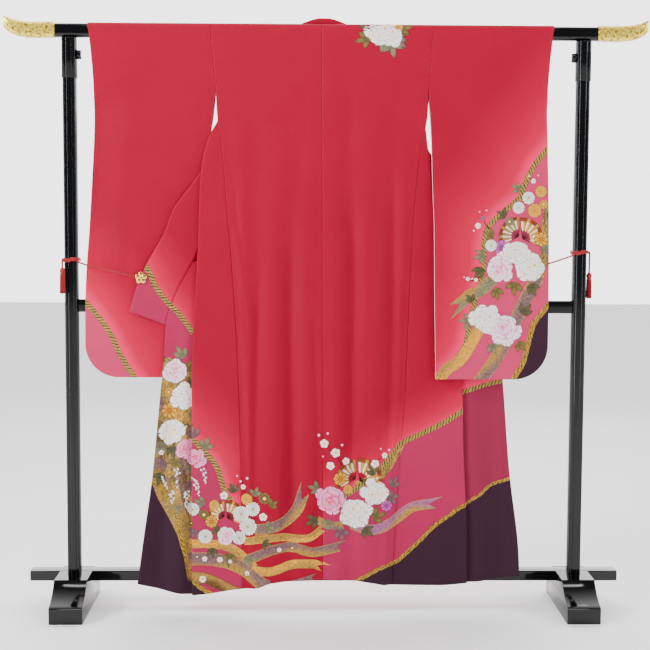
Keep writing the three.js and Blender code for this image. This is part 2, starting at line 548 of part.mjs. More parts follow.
const POST_TOP = STAND.railZ - STAND.railTall / 2 - SEAM_GAP;
function foot() {
  const s = STAND;
  const notch = {
    from: s.lowY - s.lowDeep / 2 - SEAM_GAP,
    to: s.lowY + s.lowDeep / 2 + SEAM_GAP,
    z: s.lowTop - s.lowTall - SEAM_GAP,
  };
  const turnY = s.footFlat + s.footCurve;
  const turnZ = s.footToe + s.footRise;
  const shape = new THREE.Shape();
  shape.moveTo(-s.footReach, 0).lineTo(s.footReach, 0);
  shape.lineTo(s.footReach, s.footToe - s.footEase).lineTo(s.footReach - s.footEase, s.footToe);
  shape.quadraticCurveTo(turnY, turnZ, s.footFlat, s.footTop);
  shape.lineTo(notch.to, s.footTop).lineTo(notch.to, notch.z);
  shape.lineTo(notch.from, notch.z).lineTo(notch.from, s.footTop);
  shape.lineTo(-s.footFlat, s.footTop);
  shape.quadraticCurveTo(-turnY, turnZ, s.footEase - s.footReach, s.footToe);
  shape.lineTo(-s.footReach, s.footToe - s.footEase);
  const geometry = new THREE.ExtrudeGeometry(shape, { depth: s.footWide, bevelEnabled: false, curveSegments: 6 });
  geometry.translate(0, 0, -s.footWide / 2).rotateX(Math.PI / 2).rotateZ(Math.PI / 2);
  return geometry;
}

const TIP_AROUND = 16;
const TIP_SQUARE = 0.45;
const TIP_SECTIONS = [774.3, 820, 850, 875, 895, 910, STAND.tipEnd];
// One section of a tip: a rounded oblong.
function tipRing(sign, x) {
  const top = TIP('top', x);
  const low = TIP('foot', x);
  const deep = TIP('deep', x);
  return steps(TIP_AROUND - 1).map((t) => {
    const a = t * Math.PI * 2 * (TIP_AROUND - 1) / TIP_AROUND;
    const u = Math.sign(Math.cos(a)) * Math.abs(Math.cos(a)) ** TIP_SQUARE;
    const w = Math.sign(Math.sin(a)) * Math.abs(Math.sin(a)) ** TIP_SQUARE;
    return v3(sign * x, (deep / 2) * u, (top + low) / 2 + ((top - low) / 2) * w);
  });
}

// The knob's turned profile: radius and how far it stands off the socket.
const KNOB = [[0, 0], [5, 0], [5, 4], [10, 5], [11.5, 8], [10, 11], [0, 12]];
const SOCKET_EASE = 2;

for (const [name, sign] of [['left', -1], ['right', 1]]) {
  const levels = [
    [STAND.postSide, STAND.footTop + SEAM_GAP], [STAND.postSide, STAND.socketFoot],
    [STAND.socketSide, STAND.socketFoot + SOCKET_EASE], [STAND.socketSide, POST_TOP - SOCKET_EASE],
    [STAND.postSide, POST_TOP]];
  const post = add(`post_${name}`, throughRings(levels.map(([side, z]) => postRing(side, z))), LACQUER);
  post.position.x = sign * STAND.postX;
  add(`foot_${name}`, foot(), LACQUER).position.x = sign * STAND.postX;
  add(`tip_${name}`, throughRings(TIP_SECTIONS.map((x) => tipRing(sign, x))), GOLD);
  const knob = new THREE.LatheGeometry(KNOB.map(([r, off]) => new THREE.Vector2(r, off)), 12);
  knob.rotateZ(sign * Math.PI / 2);
  add(`knob_${name}`, knob, LACQUER).position
    .set(sign * (STAND.postX - STAND.socketSide / 2 - SEAM_GAP), 0, STAND.knobZ);
}

// Red cord wound three times round a post, a tie from it to a flower clip on the collar, a tassel.
const TIE = { thick: 5, turns: 3, valley: 2.4, foot: 1.6, around: 16 };
const FLOWER = { reach: 18, petals: 5, thick: 4, waist: 0.62, points: 40 };
const TASSEL = { head: 8, headTall: 24, strands: 15, long: 54, thick: 2.6, inner: 0.32, outer: 0.78, flare: 1.22 };
const TIES = [
  {
    name: 'left', sign: -1, top: 1033, clip: v3(-531, -37.5, 975), tassel: v3(-757, -28.4, 1005), stemTop: 1028,
    route: [
      v3(-715, -28.6, 1021), v3(-690, -33, 1012), v3(-640, -38, 1001), v3(-590, -41, 989), v3(-551, -39.6, 979)],
  },
  {
    name: 'right', sign: 1, top: 1060, clip: v3(531, -30.5, 997), tassel: v3(765, 0, 995), stemTop: 1055,
    route: [
      v3(715, -28.6, 1047), v3(692, -29, 1037), v3(643, -30, 1021), v3(590, -31, 1008), v3(551, -31, 1000)],
  },
];

// A closed ring-shaped solid: the last ring joins the first.
function ringLoop(rings) {
  const n = rings[0].length;
  const faces = [];
  for (let i = 0; i < rings.length; i += 1) {
    const next = (i + 1) % rings.length;
    for (let j = 0; j < n; j += 1) {
      const k = (j + 1) % n;
      faces.push(i * n + j, i * n + k, next * n + k, i * n + j, next * n + k, next * n + j);
    }
  }
  return solidOf(rings.flat(), faces);
}

// The turns round a post: a square ring with round corners and one bulge a turn.
const WOUND_CORNER = 0.3;
const BORE_CORNER = 0.04;
function wound(top) {
  const low = top - TIE.turns * TIE.thick;
  const ring = (half, corner, z) => Array.from({ length: TIE.around }, (_, i) => {
    const a = ((i + 0.5) / TIE.around) * Math.PI * 2;
    const square = (c) => half * Math.sign(c) * Math.abs(c) ** corner;
    return v3(square(Math.cos(a)), square(Math.sin(a)), z);
  });
  const near = STAND.postSide / 2 + SEAM_GAP;
  const rings = [ring(near + TIE.foot, WOUND_CORNER, low)];
  for (let turn = 0; turn < TIE.turns; turn += 1) {
    rings.push(ring(near + TIE.thick, WOUND_CORNER, low + (turn + 0.5) * TIE.thick));
    rings.push(ring(near + TIE.valley, WOUND_CORNER, low + (turn + 1) * TIE.thick));
  }
  rings.push(ring(near, BORE_CORNER, top), ring(near, BORE_CORNER, low));
  return ringLoop(rings);
}

function tube(points, thick) {
  const shape = new THREE.Shape().absarc(0, 0, thick / 2, 0, Math.PI * 2);
  const extrudePath = new THREE.CatmullRomCurve3(points);
  return new THREE.ExtrudeGeometry(shape, { steps: 16, extrudePath, curveSegments: 4 });
}

// A flower clip that faces -Y, its petals as round lobes.
function flowerClip() {
  const shape = new THREE.Shape();
  const at = (i) => {
    const a = (i / FLOWER.points) * Math.PI * 2;
    const lobe = Math.abs(Math.cos(a * FLOWER.petals / 2)) ** 0.7;
    const r = FLOWER.reach * lerp(FLOWER.waist, 1, lobe);
    return [r * Math.sin(a), r * Math.cos(a)];
  };
  shape.moveTo(...at(0));
  for (let i = 1; i < FLOWER.points; i += 1) shape.lineTo(...at(i));
  const geometry = new THREE.ExtrudeGeometry(shape, { depth: FLOWER.thick, bevelEnabled: false });
  return geometry.rotateX(Math.PI / 2);
}

// A tassel's head with its stem, and the strands fused to it.
function tassel(tie) {
  const { head, headTall, strands, long, thick } = TASSEL;
  const stem = tie.stemTop - tie.tassel.z;
  const outline = [
    [0, -headTall], [head, -headTall], [head, 3 - headTall], [6, 6 - headTall], [head, 10 - headTall],
    [7, -5], [2.5, -1], [2.5, stem], [0, stem]];
  const lathe = new THREE.LatheGeometry(outline.map(([r, z]) => new THREE.Vector2(r, z)), 10);
  let fused = manifoldOf(lathe.rotateX(Math.PI / 2));
  const strandRing = (a, r, half, z) => steps(2).map((t) => {
    const b = a + t * Math.PI * 2 * (2 / 3);
    return v3(r * Math.cos(a) + half * Math.cos(b), r * Math.sin(a) + half * Math.sin(b), z);
  });
  for (let i = 0; i < strands; i += 1) {
    const inner = i % 3 === 0;
    const a = (i / strands) * Math.PI * 2;
    const r = head * (inner ? TASSEL.inner : TASSEL.outer);
    const spread = r * (inner ? 1 : TASSEL.flare);
    fused = fused.add(manifoldOf(throughRings([
      strandRing(a, r, thick / 2, 1 - headTall),
      strandRing(a, spread, thick / 2, -headTall - long / 2),
      strandRing(a, spread, (thick / 2) * 0.7, -headTall - long)])));
  }
  return geometryOf(fused);
}

for (const tie of TIES) {
  add(`wrap_${tie.name}`, wound(tie.top), CORD_RED).position.x = tie.sign * STAND.postX;
  add(`tie_${tie.name}`, tube(tie.route, TIE.thick), CORD_RED);
  add(`clip_${tie.name}`, flowerClip(), GOLD).position.copy(tie.clip);
  add(`tassel_${tie.name}`, tassel(tie), CORD_RED).position.copy(tie.tassel);
}

export default group;
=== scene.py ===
import bpy
import bmesh
import math
import random
import numpy as np
from mathutils import Matrix, Vector
from mathutils.bvhtree import BVHTree


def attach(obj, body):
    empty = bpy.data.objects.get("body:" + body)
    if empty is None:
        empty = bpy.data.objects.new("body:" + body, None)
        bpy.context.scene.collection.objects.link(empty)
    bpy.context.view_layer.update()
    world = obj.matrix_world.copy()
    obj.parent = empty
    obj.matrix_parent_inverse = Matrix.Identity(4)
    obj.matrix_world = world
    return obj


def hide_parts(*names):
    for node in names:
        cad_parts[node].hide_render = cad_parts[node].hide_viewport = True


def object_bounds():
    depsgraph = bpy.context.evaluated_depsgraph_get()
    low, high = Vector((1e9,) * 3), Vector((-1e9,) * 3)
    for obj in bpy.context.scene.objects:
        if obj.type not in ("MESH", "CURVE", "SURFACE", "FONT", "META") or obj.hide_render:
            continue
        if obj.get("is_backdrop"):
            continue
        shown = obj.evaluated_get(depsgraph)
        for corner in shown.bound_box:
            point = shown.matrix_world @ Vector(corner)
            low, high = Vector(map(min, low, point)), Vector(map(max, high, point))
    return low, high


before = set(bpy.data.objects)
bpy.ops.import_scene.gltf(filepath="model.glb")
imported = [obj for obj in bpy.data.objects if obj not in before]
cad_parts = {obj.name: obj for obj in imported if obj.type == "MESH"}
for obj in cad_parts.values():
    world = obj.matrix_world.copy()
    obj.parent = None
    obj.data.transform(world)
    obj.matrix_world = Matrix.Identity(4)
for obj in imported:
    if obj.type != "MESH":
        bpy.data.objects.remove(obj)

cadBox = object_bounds()
mm = 0.001
root = "root"


# Small helpers.
def paint(r, g, b):  # screen colour to linear
    return tuple((c / 255 / 12.92) if c / 255 <= 0.04045 else ((c / 255 + 0.055) / 1.055) ** 2.4 for c in (r,
        g, b))


def lerp(a, b, t):
    return a + (b - a) * t


def smooth(x, low, high):
    t = np.clip((np.asarray(x, float) - low) / (high - low), 0, 1)
    return t * t * (3 - 2 * t)


def table(columns, rows):  # named columns, read along a curve that never overshoots its rows
    data = np.array(sorted(rows), float)
    keys = data[:, 0]

    def at(name, key):
        values = data[:, columns.index(name)]
        slope = np.diff(values) / np.diff(keys)
        before, after = slope[:-1], slope[1:]
        same = before * after > 0
        middle = np.where(same, 2 * before * after / np.where(same, before + after, 1), 0)
        tangent = np.concatenate([[slope[0]], middle, [slope[-1]]])
        key = np.clip(np.asarray(key, float), keys[0], keys[-1])
        i = np.clip(np.searchsorted(keys, key, side="left") - 1, 0, len(keys) - 2)
        span = keys[i + 1] - keys[i]
        t = (key - keys[i]) / span
        return ((2 * t**3 - 3 * t**2 + 1) * values[i] + (t**3 - 2 * t**2 + t) * span * tangent[i]
                + (3 * t**2 - 2 * t**3) * values[i + 1] + (t**3 - t**2) * span * tangent[i + 1])
    return at


def addObject(name, bm, material):
    mesh = bpy.data.meshes.new(name)
    bm.to_mesh(mesh)
    bm.free()
    obj = bpy.data.objects.new(name, mesh)
    bpy.context.scene.collection.objects.link(obj)
    for m in material if isinstance(material, (list, tuple)) else [material]:
        mesh.materials.append(m)
    return obj


def shadeSmooth(obj, angle=40):
    for p in obj.data.polygons:
        p.use_smooth = True
    if angle:
        obj.data.set_sharp_from_angle(angle=math.radians(angle))
    return obj


def gridMesh(name, grid, material, flip=False):  # a sheet through rows of points, in millimetres
    rows, columns = grid.shape[:2]
    bm = bmesh.new()
    bmesh.ops.create_grid(bm, x_segments=columns - 1, y_segments=rows - 1, size=0.5)
    bm.verts.ensure_lookup_table()
    flat = grid.reshape(-1, 3) * mm
    for v, p in zip(bm.verts, flat):
        v.co = p
    if flip:
        bmesh.ops.reverse_faces(bm, faces=bm.faces)
    obj = addObject(name, bm, material)
    along = np.zeros(rows)
    middle = grid[:, columns // 2]
    along[1:] = np.cumsum(np.linalg.norm(np.diff(middle, axis=0), axis=1))
    across = np.zeros((rows, columns))
    across[:, 1:] = np.cumsum(np.linalg.norm(np.diff(grid, axis=1), axis=2), axis=1)
    uv = np.stack([across, np.repeat(along[:, None], columns, axis=1)], axis=-1).reshape(-1, 2) * mm
    layer = obj.data.uv_layers.new(name="weave")
    loops = np.zeros(len(obj.data.loops), int)
    obj.data.loops.foreach_get("vertex_index", loops)
    layer.data.foreach_set("uv", uv[loops].ravel())
    for p in obj.data.polygons:
        p.use_smooth = True
    return obj


# a closed form through rings of points, in millimetres
def loft(name, rings, material, capped=True, angle=40):
    count, around = len(rings), len(rings[0])
    bm = bmesh.new()
    bmesh.ops.create_grid(bm, x_segments=around, y_segments=count - 1, size=0.5)
    bm.verts.ensure_lookup_table()
    for i, ring in enumerate(rings):
        for j in range(around + 1):
            bm.verts[i * (around + 1) + j].co = Vector(ring[j % around]) * mm
    bmesh.ops.remove_doubles(bm, verts=bm.verts, dist=1e-6)
    if capped:
        bmesh.ops.holes_fill(bm, edges=[e for e in bm.edges if e.is_boundary], sides=0)
    bmesh.ops.recalc_face_normals(bm, faces=bm.faces)
    return shadeSmooth(addObject(name, bm, material), angle)


def addFloats(obj, name, values):
    attribute = obj.data.attributes.new(name, "FLOAT", "POINT")
    attribute.data.foreach_set("value", np.asarray(values, float).ravel())


def finishPiece(obj, nodes):
    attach(obj, root)
    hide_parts(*nodes)
    return obj


# Camera.
view = {"place": (-0.07365, -3.84135, 1.14917), "lens": 73.42, "turn": 1.056, "down": 4.6275, "roll": 0.2695}
cameraData = bpy.data.cameras.new("view")
cameraData.lens = view["lens"]
cameraData.sensor_width = 36
cameraData.clip_end = 60
camera = bpy.data.objects.new("view", cameraData)
bpy.context.scene.collection.objects.link(camera)
turn, down, roll = (math.radians(view[k]) for k in ("turn", "down", "roll"))
ahead = Vector((math.sin(turn) * math.cos(down), math.cos(turn) * math.cos(down), -math.sin(down)))
right = ahead.cross(Vector((0, 0, 1))).normalized()
up = right.cross(ahead)
tiltedRight = right * math.cos(roll) + up * math.sin(roll)
tiltedUp = up * math.cos(roll) - right * math.sin(roll)
camera.matrix_world = Matrix.Translation(view["place"]) @ Matrix((tiltedRight, tiltedUp,
                                                                  -ahead)).transposed().to_4x4()
bpy.context.scene.camera = camera
print("camera placed")


# Materials.
def newMaterial(name, base, roughness, metallic=0.0, **sockets):
    m = bpy.data.materials.new(name)
    m.use_nodes = True
    shader = m.node_tree.nodes["Principled BSDF"]
    shader.inputs["Base Color"].default_value = (*base, 1)
    shader.inputs["Roughness"].default_value = roughness
    shader.inputs["Metallic"].default_value = metallic
    for key, value in sockets.items():
        shader.inputs[key].default_value = value
    return m, m.node_tree.nodes, m.node_tree.links, shader


def ramp(nodes, stops):
    node = nodes.new("ShaderNodeValToRGB")
    elements = node.color_ramp.elements
    while len(elements) < len(stops):
        elements.new(0.5)
    for e, (place, colour) in zip(elements, stops):
        e.position = place
        e.color = (*colour, 1)
    return node


def weaveBump(nodes, links, shader, scale=2600, strength=0.25):
    uv = nodes.new("ShaderNodeUVMap")
    uv.uv_map = "weave"
    noise = nodes.new("ShaderNodeTexNoise")
    noise.inputs["Scale"].default_value = scale
    noise.inputs["Detail"].default_value = 1
    bump = nodes.new("ShaderNodeBump")
    bump.inputs["Strength"].default_value = strength
    bump.inputs["Distance"].default_value = 0.0003
    links.new(uv.outputs["UV"], noise.inputs["Vector"])
    links.new(noise.outputs["Fac"], bump.inputs["Height"])
    links.new(bump.outputs["Normal"], shader.inputs["Normal"])
    return uv


dye = {
    "crimson": paint(160, 0, 42), "glow": paint(208, 6, 62), "halo": paint(255, 30, 100),
    "rose": paint(174, 34, 78), "plum": paint(54, 28, 43),
}


# ground colour runs to pink at the upper band, then rose, then plum
def dyedSilk(name, ground, rose, haloWide=0.22, haloPale=1.0):
    m, nodes, links, shader = newMaterial(name, ground, 0.62, **{
        "Sheen Weight": 0.05, "Sheen Roughness": 0.4, "Sheen Tint": (1, 0.5, 0.55, 1),
        "Specular IOR Level": 0.1})
    upper = nodes.new("ShaderNodeAttribute")
    upper.attribute_name = "upper"
    spread = nodes.new("ShaderNodeMapRange")
    spread.inputs["From Min"].default_value = -haloWide
    spread.inputs["From Max"].default_value = 0.02
    edge = haloWide / (haloWide + 0.02)
    colours = ramp(nodes, [(0.0, ground), (edge * 0.45, lerp(np.array(ground), np.array(dye["glow"]), 0.35)),
                           (edge * 0.82, dye["glow"]), (edge * 0.985,
                                                        lerp(np.array(dye["glow"]), np.array(dye["halo"]),
                                                             haloPale)),
                           (edge + 0.004, rose), (1.0, rose)])
    lower = nodes.new("ShaderNodeAttribute")
    lower.attribute_name = "lower"
    cut = nodes.new("ShaderNodeMapRange")
    cut.inputs["From Min"].default_value = -0.0004
    cut.inputs["From Max"].default_value = 0.0004
    mixed = nodes.new("ShaderNodeMix")
    mixed.data_type = "RGBA"
    mixed.inputs["B"].default_value = (*dye["plum"], 1)
    cloud = nodes.new("ShaderNodeTexNoise")
    cloud.inputs["Scale"].default_value = 7
    cloud.inputs["Detail"].default_value = 2
    soften = nodes.new("ShaderNodeMapRange")
    soften.inputs["To Min"].default_value = 0.93
    soften.inputs["To Max"].default_value = 1.06
    shade = nodes.new("ShaderNodeVectorMath")
    shade.operation = "SCALE"
    uv = weaveBump(nodes, links, shader)
    links.new(upper.outputs["Fac"], spread.inputs["Value"])
    links.new(spread.outputs["Result"], colours.inputs["Fac"])
    links.new(lower.outputs["Fac"], cut.inputs["Value"])
    links.new(cut.outputs["Result"], mixed.inputs["Factor"])
    links.new(colours.outputs["Color"], mixed.inputs["A"])
    links.new(uv.outputs["UV"], cloud.inputs["Vector"])
    links.new(cloud.outputs["Fac"], soften.inputs["Value"])
    links.new(mixed.outputs["Result"], shade.inputs[0])
    links.new(soften.outputs["Result"], shade.inputs["Scale"])
    links.new(shade.outputs["Vector"], shader.inputs["Base Color"])
    return m


silk = dyedSilk("dyed silk", dye["crimson"], dye["rose"], 0.12, 0.5)
frontSilk = dyedSilk("dyed silk front", dye["crimson"], dye["rose"], 0.17, 0.9)
sleeveSilk = dyedSilk("dyed silk sleeve", dye["crimson"], paint(204, 52, 96))
# the right overlap's rose is painted darker than the back's rose: painted shade, where it lies behind the
# front panel's edge
wingSilkPaintedShade = dyedSilk("dyed silk wing with painted shade", dye["crimson"], paint(144, 36, 66))


def liningSilk():  # white above, its hem facing dyed to match
    m, nodes, links, shader = newMaterial("white lining silk", paint(244, 238, 230), 0.6,
                                          **{"Sheen Weight": 0.1})
    weaveBump(nodes, links, shader, 1800, 0.15)
    place = nodes.new("ShaderNodeTexCoord")
    split = nodes.new("ShaderNodeSeparateXYZ")
    colours = ramp(nodes, [(0.0, dye["rose"]), (0.2, dye["halo"]), (0.46, paint(250, 190, 196)),
                           (0.62, paint(244, 238, 230))])
    links.new(place.outputs["Object"], split.inputs["Vector"])
    links.new(split.outputs["Z"], colours.inputs["Fac"])
    links.new(colours.outputs["Color"], shader.inputs["Base Color"])
    return m


bodyLining = liningSilk()
lining, nodes, links, shader = newMaterial("lining edge", paint(244, 238, 230), 0.6, **{"Sheen Weight": 0.1})
weaveBump(nodes, links, shader, 1800, 0.15)
hemEdge = newMaterial("hem edge", paint(120, 20, 40), 0.6)[0]


# flowers and ribbons: their colour is kept on their points, and the gilt parts are flecked
def dyedPattern():
    m, nodes, links, shader = newMaterial("dyed pattern", (0.8, 0.8, 0.8), 0.6, **{"Specular IOR Level": 0.1})
    tint = nodes.new("ShaderNodeAttribute")
    tint.attribute_name = "tint"
    place = nodes.new("ShaderNodeTexCoord")
    fleck = nodes.new("ShaderNodeTexNoise")
    fleck.inputs["Scale"].default_value = 150
    fleck.inputs["Detail"].default_value = 5
    fleck.inputs["Roughness"].default_value = 0.7
    spread = nodes.new("ShaderNodeMapRange")
    spread.inputs["From Min"].default_value = 0.34
    spread.inputs["From Max"].default_value = 0.66
    spread.inputs["To Min"].default_value = 0.45
    spread.inputs["To Max"].default_value = 1.6
    plain = nodes.new("ShaderNodeMix")
    plain.inputs["A"].default_value = 1
    shade = nodes.new("ShaderNodeVectorMath")
    shade.operation = "SCALE"
    flip = nodes.new("ShaderNodeMath")
    flip.operation = "SUBTRACT"
    flip.inputs[0].default_value = 1
    links.new(place.outputs["Object"], fleck.inputs["Vector"])
    links.new(fleck.outputs["Fac"], spread.inputs["Value"])
    links.new(tint.outputs["Alpha"], flip.inputs[1])
    links.new(flip.outputs["Value"], plain.inputs["Factor"])
    links.new(spread.outputs["Result"], plain.inputs["B"])
    links.new(tint.outputs["Color"], shade.inputs[0])
    links.new(plain.outputs["Result"], shade.inputs["Scale"])
    links.new(shade.outputs["Vector"], shader.inputs["Base Color"])
    return m


pattern = dyedPattern()


# a printed band of uneven slanting twists, flecked with gold
def ropeBand(name, light, mid, dark, slant, wavy):
    m, nodes, links, shader = newMaterial(name, mid, 0.5, **{"Specular IOR Level": 0.15})
    uv = nodes.new("ShaderNodeUVMap")
    uv.uv_map = "band"
    place = nodes.new("ShaderNodeMapping")
    place.inputs["Rotation"].default_value = (0, 0, math.radians(slant))
    wave = nodes.new("ShaderNodeTexWave")
    wave.inputs["Scale"].default_value = 40
    wave.inputs["Distortion"].default_value = wavy
    wave.inputs["Detail"].default_value = 3
    wave.inputs["Detail Scale"].default_value = 2.2
    fleck = nodes.new("ShaderNodeTexNoise")
    fleck.inputs["Scale"].default_value = 260
    fleck.inputs["Detail"].default_value = 3
    both = nodes.new("ShaderNodeMath")
    both.operation = "MULTIPLY_ADD"
    both.inputs[1].default_value = 0.62
    colours = ramp(nodes, [(0.3, dark), (0.52, mid), (0.8, light), (1.0, mid)])
    links.new(uv.outputs["UV"], place.inputs["Vector"])
    links.new(place.outputs["Vector"], wave.inputs["Vector"])
    links.new(uv.outputs["UV"], fleck.inputs["Vector"])
    links.new(wave.outputs["Fac"], both.inputs[0])
    half = nodes.new("ShaderNodeMath")
    half.operation = "MULTIPLY"
    half.inputs[1].default_value = 0.62
    links.new(fleck.outputs["Fac"], half.inputs[0])
    links.new(half.outputs["Value"], both.inputs[2])
    links.new(both.outputs["Value"], colours.inputs["Fac"])
    links.new(colours.outputs["Color"], shader.inputs["Base Color"])
    return m


upperBandLook = ropeBand("upper band", paint(195, 159, 70), paint(112, 96, 54), paint(46, 44, 26), 38, 3.5)
lowerBandLook = ropeBand("lower band", paint(200, 158, 50), paint(146, 108, 36), paint(80, 56, 24), 70, 9)

lacquer = newMaterial("black lacquer", (0.0008, 0.0008, 0.0012), 0.09, **{"Specular IOR Level": 0.36})[0]


def engravedGold():
    m, nodes, links, shader = newMaterial("engraved gold", paint(250, 208, 70), 0.3, 0.6)
    place = nodes.new("ShaderNodeTexCoord")
    cells = nodes.new("ShaderNodeTexVoronoi")
    cells.inputs["Scale"].default_value = 95
    cells.feature = "DISTANCE_TO_EDGE"
    worn = nodes.new("ShaderNodeTexNoise")
    worn.inputs["Scale"].default_value = 150
    worn.inputs["Detail"].default_value = 4
    tones = ramp(nodes, [(0.36, paint(140, 108, 26)), (0.46, paint(232, 194, 62)),
                         (0.56, paint(252, 222, 84)), (0.7, paint(255, 236, 130))])
    links.new(place.outputs["Object"], worn.inputs["Vector"])
    links.new(worn.outputs["Fac"], tones.inputs["Fac"])
    links.new(tones.outputs["Color"], shader.inputs["Base Color"])
    bump = nodes.new("ShaderNodeBump")
    bump.inputs["Strength"].default_value = 0.9
    bump.inputs["Distance"].default_value = 0.0014
    links.new(place.outputs["Object"], cells.inputs["Vector"])
    links.new(cells.outputs["Distance"], bump.inputs["Height"])
    links.new(bump.outputs["Normal"], shader.inputs["Normal"])
    return m


gold = engravedGold()
clipGold = newMaterial("clip gold", paint(250, 206, 100), 0.26, 1.0)[0]
redCord = newMaterial("red cord", paint(156, 4, 16), 0.6, **{"Sheen Weight": 0.05})[0]
print("materials made")


# Ties: red cords from the posts to clips on the collar.
tie = {"thick": 5.0, "turns": 3, "postHalf": 20.3}
ties = {
    "left": {"sign": -1, "top": 1033, "clip": (-531, -37.5, 975), "tassel": (-757, -28.4, 1005),
             "stemTop": 1028,
             "route": [(-715, -28.6, 1021), (-690, -33, 1012), (-640, -38, 1001), (-590, -41, 989),
                       (-551, -39.6, 979)]},
    "right": {"sign": 1, "top": 1060, "clip": (531, -30.5, 997), "tassel": (765, 0, 995), "stemTop": 1055,
              "route": [(715, -28.6, 1047), (692, -29, 1037), (643, -30, 1021), (590, -31, 1008),
                        (551, -31, 1000)]},
}


def throughPoints(points, count):  # an even curve through points
    p = np.array(points, float)
    p = np.vstack([2 * p[0] - p[1], p, 2 * p[-1] - p[-2]])
    t = np.linspace(0, len(points) - 1, count)
    i = np.minimum(t.astype(int), len(points) - 2)
    f = (t - i)[:, None]
    a, b, c, d = p[i], p[i + 1], p[i + 2], p[i + 3]
    return 0.5 * (2 * b + (c - a) * f + (2 * a - 5 * b + 4 * c - d) * f**2 + (3 * b - a - 3 * c + d) * f**3)


def twistedRings(path, thick, around=14, plies=3, lay=16.0):  # rings of a laid cord along a path
    path = np.asarray(path, float)
    ahead = np.gradient(path, axis=0)
    ahead /= np.linalg.norm(ahead, axis=1)[:, None]
    length = np.concatenate([[0], np.cumsum(np.linalg.norm(np.diff(path, axis=0), axis=1))])
    rings = []
    side = np.cross(ahead[0], [0, 0, 1.0])
    side /= np.linalg.norm(side)
    for i, p in enumerate(path):
        side = side - ahead[i] * side.dot(ahead[i])
        side /= np.linalg.norm(side)
        over = np.cross(ahead[i], side)
        a = np.arange(around) / around * 2 * np.pi
        lobes = np.abs(np.cos((a - length[i] / lay * 2 * np.pi / plies * 1.0) * plies / 2))
        r = thick / 2 * (0.8 + 0.22 * lobes)
        rings.append(p + r[:, None] * (np.cos(a)[:, None] * side + np.sin(a)[:, None] * over))
    return rings


tiePieces = {}
for name, t in ties.items():
    path = throughPoints(t["route"], 120)
    obj = loft(f"tieCord{name.title()}", twistedRings(path, tie["thick"]), redCord, angle=None)
    finishPiece(obj, [f"tie_{name}"])
    tiePieces[name] = (obj, path)
print("tie cords made")


# Cloth: the garment's own tables, millimetres.
hemZ, armholeZ = 60, 1369
cloth = {"thick": 1.7, "seamGap": 0.3, "laid": 1.8, "flank": 18.8, "railTop": 1696.75, "railRound": 12.0,
         "railHalf": 17.0}
leftSide = table(["z", "x"], [
    (1700, -331), (1684, -331), (1516, -318), (1473, -316), (1403, -310), (1369, -303), (1284, -294),
    (1136, -282), (1056, -274), (586, -248), (60, -239)])
rightSide = table(["z", "x"], [
    (1700, 300), (1684, 300), (1514, 290), (1449, 288), (1386, 278), (1344, 268), (1272, 260),
    (1138, 248), (587, 226), (455, 216), (241, 202), (60, 194)])
centreLine = table(["z", "x"], [(1700, -16), (913, -11), (60, -6)])
backDepth = table(["z", "y"], [
    (1700, -18.8), (1640, -18.8), (1500, -20), (1369, -26), (1232, -36), (1044, -44), (900, -48), (586, -50),
    (60, -52)])
rightDepth = table(["z", "y"], [
    (1700, -18.8), (1640, -18.8), (1500, -20), (1369, -24), (1232, -29), (1044, -34), (900, -37), (586, -42),
    (60, -46)])
backFolds = [
    {"x1369": -245, "x900": -238, "x60": -196, "half": 26, "outTop": 1, "outFoot": 10},
    {"x1369": -140, "x900": -150, "x60": -152, "half": 42, "outTop": 2, "outFoot": 15},
    {"x1369": -50, "x900": -52, "x60": -58, "half": 44, "outTop": 3, "outFoot": 13},
    {"x1369": 18, "x900": 24, "x60": 34, "half": 30, "outTop": 2, "outFoot": 15},
    {"x1369": 120, "x900": 122, "x60": 128, "half": 48, "outTop": 3, "outFoot": 16},
    {"x1369": 222, "x900": 214, "x60": 176, "half": 22, "outTop": 1, "outFoot": 8},
]
leftFront = table(["z", "outerFold", "innerFold", "seam", "step"], [
    (1700, -331, -77, -79, 7), (1657, -329, -77, -80, 7), (1600, -324, -75, -85, 8),
    (1500, -318, -88, -115, 9),
    (1408, -328, -118, -158, 9), (1369, -340, -140, -183, 9), (1309, -355, -165, -218, 8),
    (1232, -362, -215, -262, 7),
    (1044, -368, -285, -371, 7), (913, -376, -306, -375, 7), (682, -386, -328, -382, 7),
    (60, -387, -340, -384, 7)])
rightFront = table(["z", "outerFold", "innerFold", "seam", "step"], [
    (1700, 300, 57, 59, 7), (1657, 298, 57, 60, 7), (1600, 294, 55, 66, 8), (1500, 290, 64, 92, 9),
    (1408, 284, 84, 122, 9), (1369, 286, 103, 146, 9), (1309, 296, 128, 184, 8), (1232, 303, 170, 235, 6),
    (1044, 334, 250, 338, 5.6), (913, 355, 290, 352, 5.6), (686, 393, 352, 390, 5.6),
    (478, 399, 368, 396, 5.6),
    (214, 412, 390, 409, 5.6), (60, 414, 394, 411, 5.6)])
leftOverlap = table(["z", "x"], [
    (1044, -371), (917, -438), (839, -461), (782, -464), (680, -473), (622, -479), (506, -490), (385, -502),
    (220, -525), (60, -546)])
rightOverlap = table(["z", "x"], [
    (1044, 338), (930, 424), (839, 488), (782, 498), (685, 510), (393, 534), (118, 566), (60, 568)])
leftCollar = table(["z", "dx", "dy", "dz"], [
    (1700, 42, 8, -34), (1657, 34, 30, -36), (1600, 4, 46, -18), (1540, -52, 20, 22), (1470, -68, 14, 40),
    (1369, -82, 9, 52), (1232, -90, 1.5, 58), (1044, -94, 0, 60), (917, -98, -2, 51), (839, -103, -3, 38)])
rightCollar = table(["z", "dx", "dy", "dz"], [
    (1700, -42, 8, -34), (1657, -34, 30, -36), (1600, -4, 46, -18), (1540, 50, 20, 24), (1470, 66, 14, 42),
    (1369, 80, 9, 54), (1232, 90, 3, 60), (1044, 92, 0, 61), (917, 92, 0, 61), (839, 92, 0, 61)])
neck = {"halfWide": 69, "centreX": -10, "rise": 19, "drop": 26}
